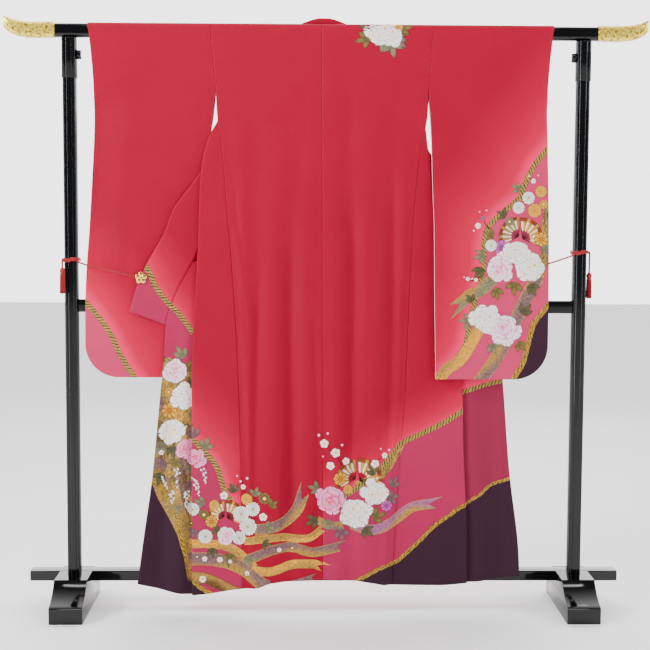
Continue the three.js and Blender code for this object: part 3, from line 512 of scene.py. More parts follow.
hem = table(["x", "z"], [
    (-546, 84), (-467, 63), (-388, 52), (-350, 55), (-262, 69), (-198, 76), (-161, 90), (-114, 95), (0, 100),
    (96, 96), (125, 92), (190, 82), (333, 80), (413, 86), (458, 92), (566, 107)])
leftSleeve = table(["z", "inner", "outer", "front", "rear"], [
    (1700, -331, -681, -18.8, 18.8), (1620, -326, -672, -18.8, 18.6), (1560, -321, -667, -19.3, 16),
    (1500, -319, -664, -20, 8), (1431, -325, -664, -18.5, 5), (1369, -337, -666, -17, 4),
    (1284, -352, -671, -16, 3), (1196, -352, -676, -17, 0), (1097, -349, -682, -22, -5),
    (1019, -346, -688, -25, -10), (910, -342, -693, -27.5, -15), (809, -338, -694, -29, -17),
    (687, -333, -694, -30, -20)])
rightSleeve = table(["z", "inner", "outer", "front", "rear"], [
    (1700, 300, 647, -18.8, 18.8), (1620, 296, 639, -18.8, 18.6), (1560, 292, 634, -19.3, 16),
    (1500, 291, 631, -21, 7), (1429, 295, 631, -25, -8), (1372, 298, 632, -31, -17),
    (1300, 300, 633, -39, -27), (1232, 302, 634, -46, -36), (1116, 307, 636, -51, -41),
    (916, 310, 638, -57, -46), (787, 313, 638, -58, -48), (687, 315, 638, -59, -49)])
leftHalf = {"side": leftSide, "front": leftFront, "depth": backDepth, "overlap": leftOverlap,
            "collar": leftCollar,
            "sleeve": leftSleeve, "sign": -1}
rightHalf = {"side": rightSide, "front": rightFront, "depth": rightDepth, "overlap": rightOverlap,
             "collar": rightCollar,
             "sleeve": rightSleeve, "sign": 1}


def overRail(t):  # depth and height over the rail, from its front face to its rear face
    straight = cloth["railTop"] - cloth["railRound"]
    round = cloth["railRound"] + cloth["laid"]
    flat = cloth["railHalf"] - cloth["railRound"]
    corner = 0.38
    if t < corner:
        a = t / corner * math.pi / 2
        return -flat - round * math.cos(a), straight + round * math.sin(a)
    if t > 1 - corner:
        a = (1 - t) / corner * math.pi / 2
        return flat + round * math.cos(a), straight + round * math.sin(a)
    return lerp(-flat, flat, (t - corner) / (1 - 2 * corner)), straight + round


def heightAt(x, z):
    low = lerp(armholeZ, hem("z", x), (armholeZ - z) / (armholeZ - hemZ))
    return np.where(z >= armholeZ, z, low)


def backFold(x, z):
    out = np.zeros_like(np.asarray(x, float))
    for fold in backFolds:
        fall = np.clip((armholeZ + 120 - z) / 1000, 0, 1)
        at = (lerp(fold["x900"], fold["x1369"], (z - 900) / (armholeZ - 900)) if z > 900
              else lerp(fold["x60"], fold["x900"], (z - 60) / 840))
        d = (x - at) / fold["half"]
        out = out + lerp(fold["outTop"], fold["outFoot"], fall) * np.exp(-d * d) * smooth(1640 - z, 0, 260)
    return out


# Soft creases laid over the folds: a line from one place to another,
# its half width and its depth (- is a trough).
backCreases = [
    {"from": (-292, 1180), "to": (-205, 820), "half": 12, "deep": 2.6},
    {"from": (-262, 1250), "to": (-226, 700), "half": 10, "deep": -2.4},
    {"from": (-196, 1000), "to": (-202, 120), "half": 14, "deep": -6.4},
    {"from": (-100, 1120), "to": (-108, 150), "half": 24, "deep": -14.5},
    {"from": (-128, 700), "to": (-130, 110), "half": 9, "deep": 2.4},
    {"from": (-30, 900), "to": (-26, 120), "half": 10, "deep": -3.0},
    {"from": (66, 1240), "to": (78, 380), "half": 23, "deep": -13.5},
    {"from": (88, 900), "to": (92, 120), "half": 11, "deep": 2.6},
    {"from": (34, 220), "to": (30, 90), "half": 24, "deep": -8.0},
    {"from": (196, 1300), "to": (172, 380), "half": 20, "deep": -11.0},
    {"from": (150, 1120), "to": (146, 200), "half": 13, "deep": 2.4},
    {"from": (236, 1230), "to": (202, 760), "half": 9, "deep": 2.2},
    {"from": (-300, 1340), "to": (-110, 1200), "half": 16, "deep": 1.6},
    {"from": (262, 1330), "to": (80, 1210), "half": 16, "deep": 1.6},
    {"from": (-240, 1600), "to": (-150, 1380), "half": 24, "deep": 2.0},
    {"from": (210, 1610), "to": (140, 1390), "half": 22, "deep": 2.0},
    {"from": (-60, 1560), "to": (-76, 1180), "half": 20, "deep": -1.6},
    {"from": (60, 1540), "to": (70, 1260), "half": 18, "deep": -1.6},
    {"from": (-330, 486), "to": (120, 508), "half": 3.4, "deep": 2.0},
    {"from": (-286, 1108), "to": (250, 1100), "half": 3.2, "deep": 1.2},
]


def creased(x, z, creases):
    out = np.zeros_like(np.asarray(x, float))
    for c in creases:
        a, b = np.array(c["from"], float), np.array(c["to"], float)
        d = b - a
        length = np.linalg.norm(d)
        d /= length
        along = ((x - a[0]) * d[0] + (z - a[1]) * d[1]) / length
        off = (x - a[0]) * -d[1] + (z - a[1]) * d[0] + 5 * np.sin(along * 5 + a[0])
        ends = smooth(along, -0.06, 0.22) * smooth(1.06 - along, 0, 0.28)
        out = out + c["deep"] * np.exp(-(off / c["half"])**2) * ends
    return out


# across a front from its side edge (0) to its seam (16): out, back behind itself, and out again
def frontRow(half, j, z):
    sign = half["sign"]
    edge, step = half["side"]("x", z), half["front"]("step", z)
    outer, inner, seam = (half["front"](k, z) for k in ("outerFold", "innerFold", "seam"))
    y = half["depth"]("y", min(z, 1640))
    opened = smooth(armholeZ + 84 - z, 0, 70)
    r = step / 2
    firstTurn, lastTurn = np.clip((j - 3) / 4, 0, 1) * np.pi, np.clip((j - 10) / 4, 0, 1) * np.pi
    parts = [j <= 3, j < 7, j <= 10, j < 14]
    pleatX = np.select(parts, [
        lerp(edge - sign * 0.2, outer - sign * r, j / 3), outer - sign * r * (1 - np.sin(firstTurn)),
        lerp(outer - sign * r, inner + sign * r, (j - 7) / 3), inner + sign * r * (1 - np.sin(lastTurn))],
        lerp(inner + sign * r, seam, (j - 14) / 2))
    pleatY = np.select(parts, [y + 0.5 * np.exp(-(j / 0.1)**2), y + r * (1 - np.cos(firstTurn)),
                               y + step + 0 * j,
                               y + step + r * (1 - np.cos(lastTurn))], y + 2 * step)
    rear = lerp(cloth["flank"], y + step, smooth(1600 - z, 0, 1600 - armholeZ))
    turned = smooth(1660 - z, 0, 90)
    flatX, flatY = lerp(edge, seam, j / 16), rear + 0.5 * j / 16
    foldX = np.select([j < 7, j <= 10, j < 14], [
        edge - sign * 14 * j / 7, lerp(edge - sign * 14, inner + sign * r, (j - 7) / 3),
        inner + sign * r * (1 - np.sin(lastTurn))], lerp(inner + sign * r, seam, (j - 14) / 2))
    foldY = np.select([j < 7, j <= 10, j < 14],
                      [rear - 0.4 * (7 - j) / 7, rear + 0 * j, rear + r * (1 - np.cos(lastTurn))],
                      rear + step)
    x = lerp(lerp(flatX, foldX, turned), pleatX, opened)
    return x, lerp(lerp(flatY, foldY, turned), pleatY, opened)


columnsJ = np.concatenate([np.linspace(0, 3, 27)[:-1], np.linspace(3, 7, 9)[:-1], np.linspace(7, 10, 23)[:-1],
                           np.linspace(10, 14, 9)[:-1], np.linspace(14, 16, 15)])
backZ = np.concatenate([np.linspace(60, 300, 22)[:-1], np.linspace(300, 1680, 100)])
frontZ = backZ[::-1]
overT = np.linspace(0, 1, 14)


def bodyGrid(half):
    sign = half["sign"]
    even = np.linspace(0, 1, len(columnsJ))
    rows = []
    for z in backZ:
        x = lerp(half["side"]("x", z), centreLine("x", z), even)
        y = lerp(half["depth"]("y", z), backDepth("y", z), smooth(even, 0, 1))
        out = backFold(x, z) + creased(x, z, backCreases) * smooth(1640 - z, 0, 200)
        groove = 0.7 * np.exp(-((1 - even) * 300 / 3)**2)
        rows.append(np.stack([x, y - out * smooth(even, 0, 0.12) + groove, heightAt(x, z)], axis=-1))
    neckEdge = neck["centreX"] + sign * neck["halfWide"]
    for t in overT:
        y, z = overRail(t)
        inner = lerp(centreLine("x", 1700), neckEdge, smooth(t, 0.36, 0.64))
        k = lerp(even, columnsJ / 16, t)
        x = lerp(half["side"]("x", 1700), inner, k)
        rows.append(np.stack([x, y + 0 * x, z + 0 * x], axis=-1))
    for z in frontZ:
        x, y = frontRow(half, columnsJ, z)
        rows.append(np.stack([x, y, heightAt(x, z)], axis=-1))
    return np.array(rows)


def overlapGrid(half):
    across = np.linspace(0, 1, 31)
    rows = []
    for z in np.linspace(60, 1025, 92):
        x = lerp(half["front"]("seam", z), half["overlap"]("x", z), across)
        y = half["depth"]("y", z) + 2 * half["front"]("step", z)
        wave = (np.sin(across * np.pi * 2.6 - 0.5) + 0.48) * smooth(960 - z, 0,
                                                                    500) * (4 + 3 * smooth(700 - z, 0, 500))
        rows.append(np.stack([x, y - wave * smooth(across, 0, 0.25), heightAt(x, z)], axis=-1))
    return np.array(rows)


topRows = [1655, 1620, 1560, 1500]
flapRows = [1450, 1410, 1369, 1335, 1290, 1240, 1180, 1110, 1044]
skirtRows = [1025, 1000, 960, 900, 839]


def collarStation(half, z):
    off = np.array([float(half["collar"](k, z)) for k in ("dx", "dy", "dz")])
    if z > 1044:
        x, y = (float(v[0]) for v in frontRow(half, np.array([16.0]), z))
    else:
        x, y = float(half["overlap"]("x", z)), float(half["depth"]("y", z) + 2 * half["front"]("step", z))
    seam = np.array([x, y, float(heightAt(x, z))])
    seam = seam + off / np.linalg.norm(off) * (3 if z > 1245 else 0.9)
    return seam, seam + off


def collarGrid():
    heights = (topRows + flapRows + skirtRows)[::-1]
    fifths = np.linspace(0, 1, 5)[:, None]

    def strip(half):
        return [lerp(seam, edge, fifths) for seam, edge in (collarStation(half, z) for z in heights)]

    def corner(sign):
        rows = []
        for t in (0.98, 0.86, 0.74):
            y, z = overRail(t)
            base = np.array([neck["centreX"] + sign * (neck["halfWide"] - 1.6), y + 0.4, z + 0.4])
            edge = base + np.array([-sign * lerp(42, 36, t), lerp(17, 28, t), -36])
            bulge = np.sin(fifths * np.pi)
            rows.append(lerp(base, edge, fifths) + bulge * np.array([0, 5 * (1 - t), 2]))
        return rows
    over = []
    for a in (1, 0.8, 0.5, 0.2, -0.2, -0.5, -0.8, -1):
        x = neck["centreX"] - a * (neck["halfWide"] - 3)
        rise, drop = 3 + neck["rise"] * (1 - a * a), neck["drop"] - 4 * a * a
        base = cloth["railTop"] + cloth["laid"] + 0.4
        inwards = a * 40
        over.append(np.array([
            (x, 9, base), (x + inwards * 0.12, 11, base + rise * 0.85),
            (x + inwards * 0.3, 18, base + rise * 0.9),
            (x + inwards * 0.65, 25, base - drop * 0.45), (x + inwards, 27, base - drop * 1.45)]))
    rows = strip(leftHalf) + corner(-1) + over + corner(1)[::-1] + strip(rightHalf)[::-1]
    coarse = np.array(rows)
    along = np.concatenate([[0], np.cumsum(np.linalg.norm(np.diff(coarse[:, 0], axis=0), axis=1))])
    fine = np.unique(np.concatenate([np.linspace(0, along[-1], 230), along]))
    across = np.linspace(0, 4, 17)
    names = ["s", "x", "y", "z"]
    lines = []
    for c in range(5):
        curve = table(names, [(s, *p) for s, p in zip(along, coarse[:, c])])
        lines.append(np.stack([curve(k, fine) for k in names[1:]], axis=-1))
    lines = np.array(lines)
    grid = []
    for i in range(len(fine)):
        curve = table(names, [(c, *lines[c, i]) for c in range(5)])
        grid.append(np.stack([curve(k, across) for k in names[1:]], axis=-1))
    return np.array(grid)


sleeveSizes = {"foot": 687, "corner": 97, "cuffFoot": 1494, "seamZ": 1500}
sleeveCreases = {
    -1: [{"from": (-350, 1560), "to": (-610, 1330), "half": 20, "deep": 1.2},
         {"from": (-380, 1430), "to": (-640, 1250), "half": 14, "deep": -1.2},
         {"from": (-430, 1200), "to": (-470, 720), "half": 22, "deep": 1.4},
         {"from": (-560, 1180), "to": (-580, 740), "half": 20, "deep": -1.4},
         {"from": (-640, 1100), "to": (-650, 800), "half": 12, "deep": 0.8},
         {"from": (-360, 1010), "to": (-640, 1060), "half": 9, "deep": 0.6}],
    1: [{"from": (320, 1580), "to": (570, 1350), "half": 20, "deep": 1.2},
        {"from": (350, 1450), "to": (600, 1270), "half": 14, "deep": -1.0},
        {"from": (390, 1230), "to": (400, 720), "half": 20, "deep": 1.2},
        {"from": (470, 1260), "to": (482, 720), "half": 20, "deep": -1.3},
        {"from": (590, 1300), "to": (600, 760), "half": 14, "deep": 0.9},
        {"from": (318, 1120), "to": (610, 1090), "half": 9, "deep": 0.6}],
}


def sleeveGrid(half):
    sleeve, sign = half["sleeve"], half["sign"]
    u = np.linspace(0, 1, 56)
    across = lerp(u, (1 - np.cos(u * np.pi)) / 2, 0.6)
    meet = 1.15
    downZ = np.concatenate([np.linspace(1680, 800, 72)[:-1],
                            687 + 113 * (1 - np.sin(np.linspace(0, np.pi / 2, 26)))])

    def innerEdge(z):
        return (half["side"]("x", z) if z >= sleeveSizes["seamZ"] else sleeve("inner",
            z)) + sign * cloth["seamGap"]

    def outerEdge(z):
        rise, r = z - sleeveSizes["foot"], sleeveSizes["corner"]
        cut = r - math.sqrt(max(r * r - (r - rise)**2, 0)) if rise < r else 0
        return sleeve("outer", z) - sign * cut

    def wall(which, z):
        x = lerp(innerEdge(z), outerEdge(z), across)
        middle = (sleeve("front", z) + sleeve("rear", z)) / 2
        room = (sleeve("rear", z) - sleeve("front", z)) / 2
        sewnSide = smooth(across, 0.7, 1) * smooth(sleeveSizes["cuffFoot"] + 10 - z, 0, 60)
        sewnFoot = smooth(sleeveSizes["foot"] + 45 - z, 0, 44) * smooth(across, 0.02, 0.1)
        closed = np.maximum(sewnSide, sewnFoot)
        way = -1 if which == "front" else 1
        out = creased(x, z + 0 * x, sleeveCreases[sign]) * (1 if way < 0 else 0.6) * smooth(1660 - z, 0, 120)
        out = out * smooth(1 - across, 0, 0.1) * smooth(across, 0, 0.1) * smooth(z - 687, 0, 40)
        return np.stack([x, middle + way * (lerp(room, meet, closed) + np.maximum(out, -0.5 * room)),
                         z + 0 * x], axis=-1)
    rows = [wall("front", z) for z in downZ[::-1]]
    for t in overT:
        y, z = overRail(t)
        x = lerp(innerEdge(1700), sleeve("outer", 1700), across)
        rows.append(np.stack([x, y + 0 * x, z + 0 * x], axis=-1))
    rows += [wall("rear", z) for z in downZ]
    return np.array(rows)


# Bands of the dyed pattern: places across and up, millimetres.
# Below or outside them the ground changes.
bands = {
    "leftSleeve": {"upper": [(-688, 899), (-662, 870), (-637, 838), (-617, 804), (-600, 766), (-577, 726),
                             (-554, 688)], "side": -1},
    "rightSleeve": {"upper": [(628, 1344), (600, 1310), (578, 1273), (562, 1236), (545, 1202), (494, 1159),
                              (461, 1122), (450, 1074),
                              (450, 1025), (440, 959), (426, 916), (413, 858), (399, 786), (379, 754),
                              (357, 728), (320, 690)],
                    "lower": [(636, 900), (599, 853), (588, 822), (580, 787), (572, 755), (564, 729),
                              (541, 691)], "side": 1},
    "leftWing": {"upper": [(-540, 1035), (-511, 997), (-492, 954), (-469, 920), (-449, 897), (-426, 874),
                           (-403, 845), (-383, 817)],
                 "lower": [(-503, 386), (-486, 374), (-466, 353), (-451, 330), (-437, 300), (-426, 256),
                           (-417, 212), (-400, 153),
                           (-388, 129), (-384, 118)], "side": -1},
    "leftFront": {"upper": [(-386, 514), (-349, 473), (-328, 450), (-311, 421), (-300, 385), (-288, 347),
                            (-271, 333), (-238, 240),
                            (-224, 60)],
                  "lower": [(-396, 126), (-387, 99), (-364, 76), (-335, 58)], "side": -1},
    "back": {"upper": [(-74, 274), (-16, 315), (57, 348), (100, 377), (143, 407), (192, 465), (215, 495),
                       (258, 518), (301, 538),
                       (348, 562), (394, 591)],
             "lower": [(102, 102), (154, 131), (204, 149), (227, 167), (247, 185), (276, 212), (305, 244),
                       (334, 268), (363, 288),
                       (386, 306), (409, 318)], "side": -1},
    "rightWing": {"upper": [(404, 649), (448, 664), (506, 679)],
                  "lower": [(414, 320), (429, 334), (452, 349), (481, 373), (533, 394)], "side": -1},
}


def beyond(points, line, side):  # distance past a line of places, in metres; + is on its changed side
    line = np.array(line, float)
    first, last = line[0] + (line[0] - line[1]) * 60, line[-1] + (line[-1] - line[-2]) * 60
    line = np.vstack([first, line, last])
    best = np.full(len(points), 1e9)
    signs = np.zeros(len(points))
    for a, b in zip(line[:-1], line[1:]):
        d = b - a
        t = np.clip(((points - a) @ d) / (d @ d), 0, 1)
        away = np.linalg.norm(points - (a + t[:, None] * d), axis=1)
        cross = d[0] * (points[:, 1] - a[1]) - d[1] * (points[:, 0] - a[0])
        closer = away < best
        best = np.where(closer, away, best)
        signs = np.where(closer, np.sign(cross), signs)
    return best * signs * side * mm


farOff = -1.0


def zones(points, name):
    band = bands[name]
    flat = points[:, [0, 2]]
    upper = beyond(flat, band["upper"], band["side"])
    lower = beyond(flat, band["lower"], band["side"]) if "lower" in band else np.full(len(flat), farOff)
    return upper, lower


def dressSheet(obj, upper, lower):
    addFloats(obj, "upper", upper)
    addFloats(obj, "lower", lower)
    wall = obj.modifiers.new("wall", "SOLIDIFY")
    wall.thickness = cloth["thick"] * mm
    wall.offset = 0
    wall.use_even_offset = False
    wall.material_offset = 1
    wall.material_offset_rim = 2
    return obj


dyeTop = {"frontUpper": 900, "frontLower": 400, "back": 1000}  # no change of ground above these heights
sheets = {}
for name, half in (("Left", leftHalf), ("Right", rightHalf)):
    grid = bodyGrid(half)
    points = grid.reshape(-1, 3)
    obj = gridMesh(f"body{name}", grid, [silk if name == "Right" else frontSilk, bodyLining, hemEdge],
                   flip=name == "Right")
    nBack = len(backZ)
    rowIndex = np.repeat(np.arange(grid.shape[0]), grid.shape[1])
    onFront = rowIndex >= nBack
    if name == "Left":
        upper, lower = zones(points, "leftFront")
        upper = np.where(onFront & (points[:, 2] < dyeTop["frontUpper"]), upper, farOff)
        lower = np.where(onFront & (points[:, 2] < dyeTop["frontLower"]), lower, farOff)
    else:
        upper, lower = zones(points, "back")
        low = points[:, 2] < dyeTop["back"]
        upper, lower = np.where(low, upper, farOff), np.where(low, lower, farOff)
    dressSheet(obj, upper, lower)
    finishPiece(obj, [f"body_{name.lower()}"])
    sheets[f"body{name}"] = (obj, grid)

    grid = overlapGrid(half)
    # the right overlap takes the silk whose rose carries painted shade
    obj = gridMesh(f"overlap{name}", grid, [silk if name == "Left" else wingSilkPaintedShade, bodyLining, hemEdge],
                   flip=name == "Left")
    dressSheet(obj, *zones(grid.reshape(-1, 3), f"{name.lower()}Wing"))
    finishPiece(obj, [f"okumi_{name.lower()}"])
    sheets[f"overlap{name}"] = (obj, grid)

    grid = sleeveGrid(half)
    obj = gridMesh(f"sleeve{name}", grid, [sleeveSilk, lining, sleeveSilk], flip=name == "Left")
    dressSheet(obj, *zones(grid.reshape(-1, 3), f"{name.lower()}Sleeve"))
    finishPiece(obj, [f"sleeve_{name.lower()}"])
    sheets[f"sleeve{name}"] = (obj, grid)

grid = collarGrid()
points = grid.reshape(-1, 3)
obj = gridMesh("collar", grid, [silk, silk, silk])
upperLeft = zones(points, "leftWing")[0]
dressSheet(obj, np.where(points[:, 0] < -300, upperLeft, farOff), np.full(len(points), farOff))
finishPiece(obj, ["collar"])
sheets["collar"] = (obj, grid)
print("cloth panels made")


# White lining that peeps out at the sleeves' open inner edges.
peep = {"wide": 12, "peep": {"front": 0.2, "rear": -1.5}, "thick": 1.0, "clear": 0.6}
for name, half in (("left", leftHalf), ("right", rightHalf)):
    for which, way in (("front", 1), ("rear", -1)):
        rows = []
        for z in np.linspace(750, 1470, 60):
            t = np.linspace(0, 1, 5)
            x = half["sleeve"]("inner", z) + half["sign"] * lerp(-peep["peep"][which], peep["wide"], t)
            y = half["sleeve"](which, z) + way * (1 + peep["clear"] + peep["thick"] / 2)
            rows.append(np.stack([x, y + 0 * x, z + 0 * x], axis=-1))
        obj = gridMesh(f"liningEdge{name.title()}{which.title()}", np.array(rows), lining)
        wall = obj.modifiers.new("wall", "SOLIDIFY")
        wall.thickness = peep["thick"] * mm
        wall.offset = 0
        finishPiece(obj, [f"furi_{name}_{which}"])
        sheets[obj.name] = (obj, np.array(rows))
print("lining edges made")


# The stand.
stand = {"postX": 735, "postSide": 40, "socketFoot": 1543, "socketSide": 44, "railZ": 1677, "railTall": 39.5,
         "railDeep": 34,
         "railRound": 12, "railEnd": 774, "midZ": 893, "midTall": 37, "midDeep": 25,
         "lowTop": 104,
         "lowTall": 30, "lowDeep": 50, "lowY": 47, "lowEnd": 871, "footWide": 95, "footReach": 168,
         "footToe": 48,
         "footTop": 104, "footFlat": 78}


def railPiece(name, node, centre, length, deep, tall, radius):
    bm = bmesh.new()
    bmesh.ops.create_cube(bm, size=1, matrix=Matrix.Diagonal((length * mm, deep * mm, tall * mm, 1)))
    long = [e for e in bm.edges if abs(e.verts[0].co.x - e.verts[1].co.x) > length * mm / 2]
    bmesh.ops.bevel(bm, geom=long, offset=radius * mm, segments=8, profile=0.5, affect="EDGES", material=-1)
    ends = [e for e in bm.edges if not abs(e.verts[0].co.x - e.verts[1].co.x) > length * mm / 2]
    bmesh.ops.bevel(bm, geom=ends, offset=0.8 * mm, segments=2, profile=0.5, affect="EDGES", material=-1)
    bmesh.ops.translate(bm, verts=bm.verts, vec=Vector(centre) * mm)
    return finishPiece(shadeSmooth(addObject(name, bm, lacquer), 35), [node])


s = stand
railPiece("topRail", "top_rail", (0, 0, s["railZ"]), s["railEnd"] * 2, s["railDeep"], s["railTall"],
          s["railRound"])
railPiece("midRail", "mid_rail", (0, 0, s["midZ"]), 2 * (s["postX"] - s["postSide"] / 2 - 0.3), s["midDeep"],
          s["midTall"], 6)
railPiece("lowerRail", "lower_rail", (0, s["lowY"], s["lowTop"] - s["lowTall"] / 2), s["lowEnd"] * 2,
          s["lowDeep"], s["lowTall"], 3)


def postRing(side, x, z):
    quarter = [(0.494, -0.16), (0.5, -0.1), (0.5, 0.1), (0.494, 0.16), (0.476, 0.19), (0.448, 0.2),
               (0.446, 0.22)]
    quarter += [(0.315 + 0.15 * math.cos(a), 0.315 + 0.15 * math.sin(a)) for a in np.linspace(-0.5,
        math.pi / 2 + 0.5, 13)]
    quarter += [(0.22, 0.446), (0.2, 0.448), (0.19, 0.476)]
    ring = []
    for k in range(4):
        c, sn = round(math.cos(k * math.pi / 2)), round(math.sin(k * math.pi / 2))
        ring += [(x + side * (u * c - v * sn), side * (u * sn + v * c), z) for u, v in quarter]
    return ring


postTop = s["railZ"] - s["railTall"] / 2 - 0.3
for name, sign in (("Left", -1), ("Right", 1)):
    x = sign * s["postX"]
    levels = [(s["postSide"], s["footTop"] + 0.3), (s["postSide"], s["socketFoot"] - 0.5),
              (s["socketSide"] - 1.5, s["socketFoot"]),
              (s["socketSide"], s["socketFoot"] + 2), (s["socketSide"], postTop - 2),
              (s["postSide"], postTop)]
    post = loft(f"post{name}", [postRing(side, x, z) for side, z in levels], lacquer, angle=30)
    finishPiece(post, [f"post_{name.lower()}"])

    # Foot: its side outline drawn out across, then every edge eased.
    reach, toe, top, flat = s["footReach"], s["footToe"], s["footTop"], s["footFlat"]
    low, high = s["lowY"] - s["lowDeep"] / 2 - 0.3, s["lowY"] + s["lowDeep"] / 2 + 0.3
    curve = [(lerp(lerp(reach - 4, flat + 34, t), lerp(flat + 34, flat, t), t),
              lerp(lerp(toe, toe + 14, t), lerp(toe + 14, top, t), t))
             for t in np.linspace(0, 1, 13)]
    outline = [(-reach, 0), (reach, 0), (reach, toe - 4)] + curve + [(high, top),
                                                                     (high, top - s["lowTall"] - 0.3),
               (low, top - s["lowTall"] - 0.3), (low, top)] + [(-y, z) for y,
                                                               z in curve[::-1]] + [(-reach, toe - 4)]
    bm = bmesh.new()
    corners = [bm.verts.new(((x - s["footWide"] / 2) * mm, y * mm, z * mm)) for y, z in outline]
    face = bm.faces.new(corners)
    drawn = bmesh.ops.extrude_face_region(bm, geom=[face])
    bmesh.ops.translate(bm, verts=[g for g in drawn["geom"] if isinstance(g, bmesh.types.BMVert)],
                        vec=(s["footWide"] * mm, 0, 0))
    bmesh.ops.recalc_face_normals(bm, faces=bm.faces)
    rims = [e for e in bm.edges if abs(e.verts[0].co.x - e.verts[1].co.x) < 1e-6 and e.calc_face_angle(0) > 1
            and
            max(e.verts[0].co.z, e.verts[1].co.z) > 0.001]
    bmesh.ops.bevel(bm, geom=rims, offset=1.6 * mm, segments=3, profile=0.5, affect="EDGES", material=-1)
    foot = shadeSmooth(addObject(f"foot{name}", bm, lacquer), 32)
    finishPiece(foot, [f"foot_{name.lower()}"])

    # Turned knob on the inner face of the socket.
    profile = [(0.01, 0), (13, 0), (13.4, 0.6), (13.4, 9.4), (12.8, 10.8), (11, 11.7), (8, 12), (0.01, 12)]
    rings = []
    for r, out in profile:
        rings.append([(sign * (s["postX"] - s["socketSide"] / 2 - 0.3 - out), r * math.cos(a),
                       1609 + r * math.sin(a))
                      for a in np.arange(28) / 28 * 2 * math.pi])
    finishPiece(loft(f"knob{name}", rings, lacquer, angle=50), [f"knob_{name.lower()}"])

    # Gold tip: a rounded oblong that turns up to its end.
    tip = table(["x", "top", "foot", "deep"], [
        (774.3, 1700, 1657, 38), (832, 1699.5, 1656, 38), (869, 1702, 1659, 37), (897, 1708, 1667, 34),
        (911, 1714, 1676, 30), (919, 1717, 1683, 24)])
    rings = []
    for k, u in enumerate(np.concatenate([[774.3, 775.3], np.linspace(777, 917.5, 40), [918.6, 919]])):
        topZ, footZ, deep = (float(tip(c, u)) for c in ("top", "foot", "deep"))
        ease = 1 - 0.05 * (k in (0, 43)) - 0.12 * (k == 43)
        ring = []
        for a in (np.arange(48) + 0.5) / 48 * 2 * math.pi:
            c, sn = math.cos(a), math.sin(a)
            ring.append((sign * u, deep / 2 * ease * math.copysign(abs(c)**0.45, c),
                         (topZ + footZ) / 2 + (topZ - footZ) / 2 * ease * math.copysign(abs(sn)**0.45, sn)))
        rings.append(ring)
    finishPiece(loft(f"tip{name}", rings, gold, angle=50), [f"tip_{name.lower()}"])
print("stand made")


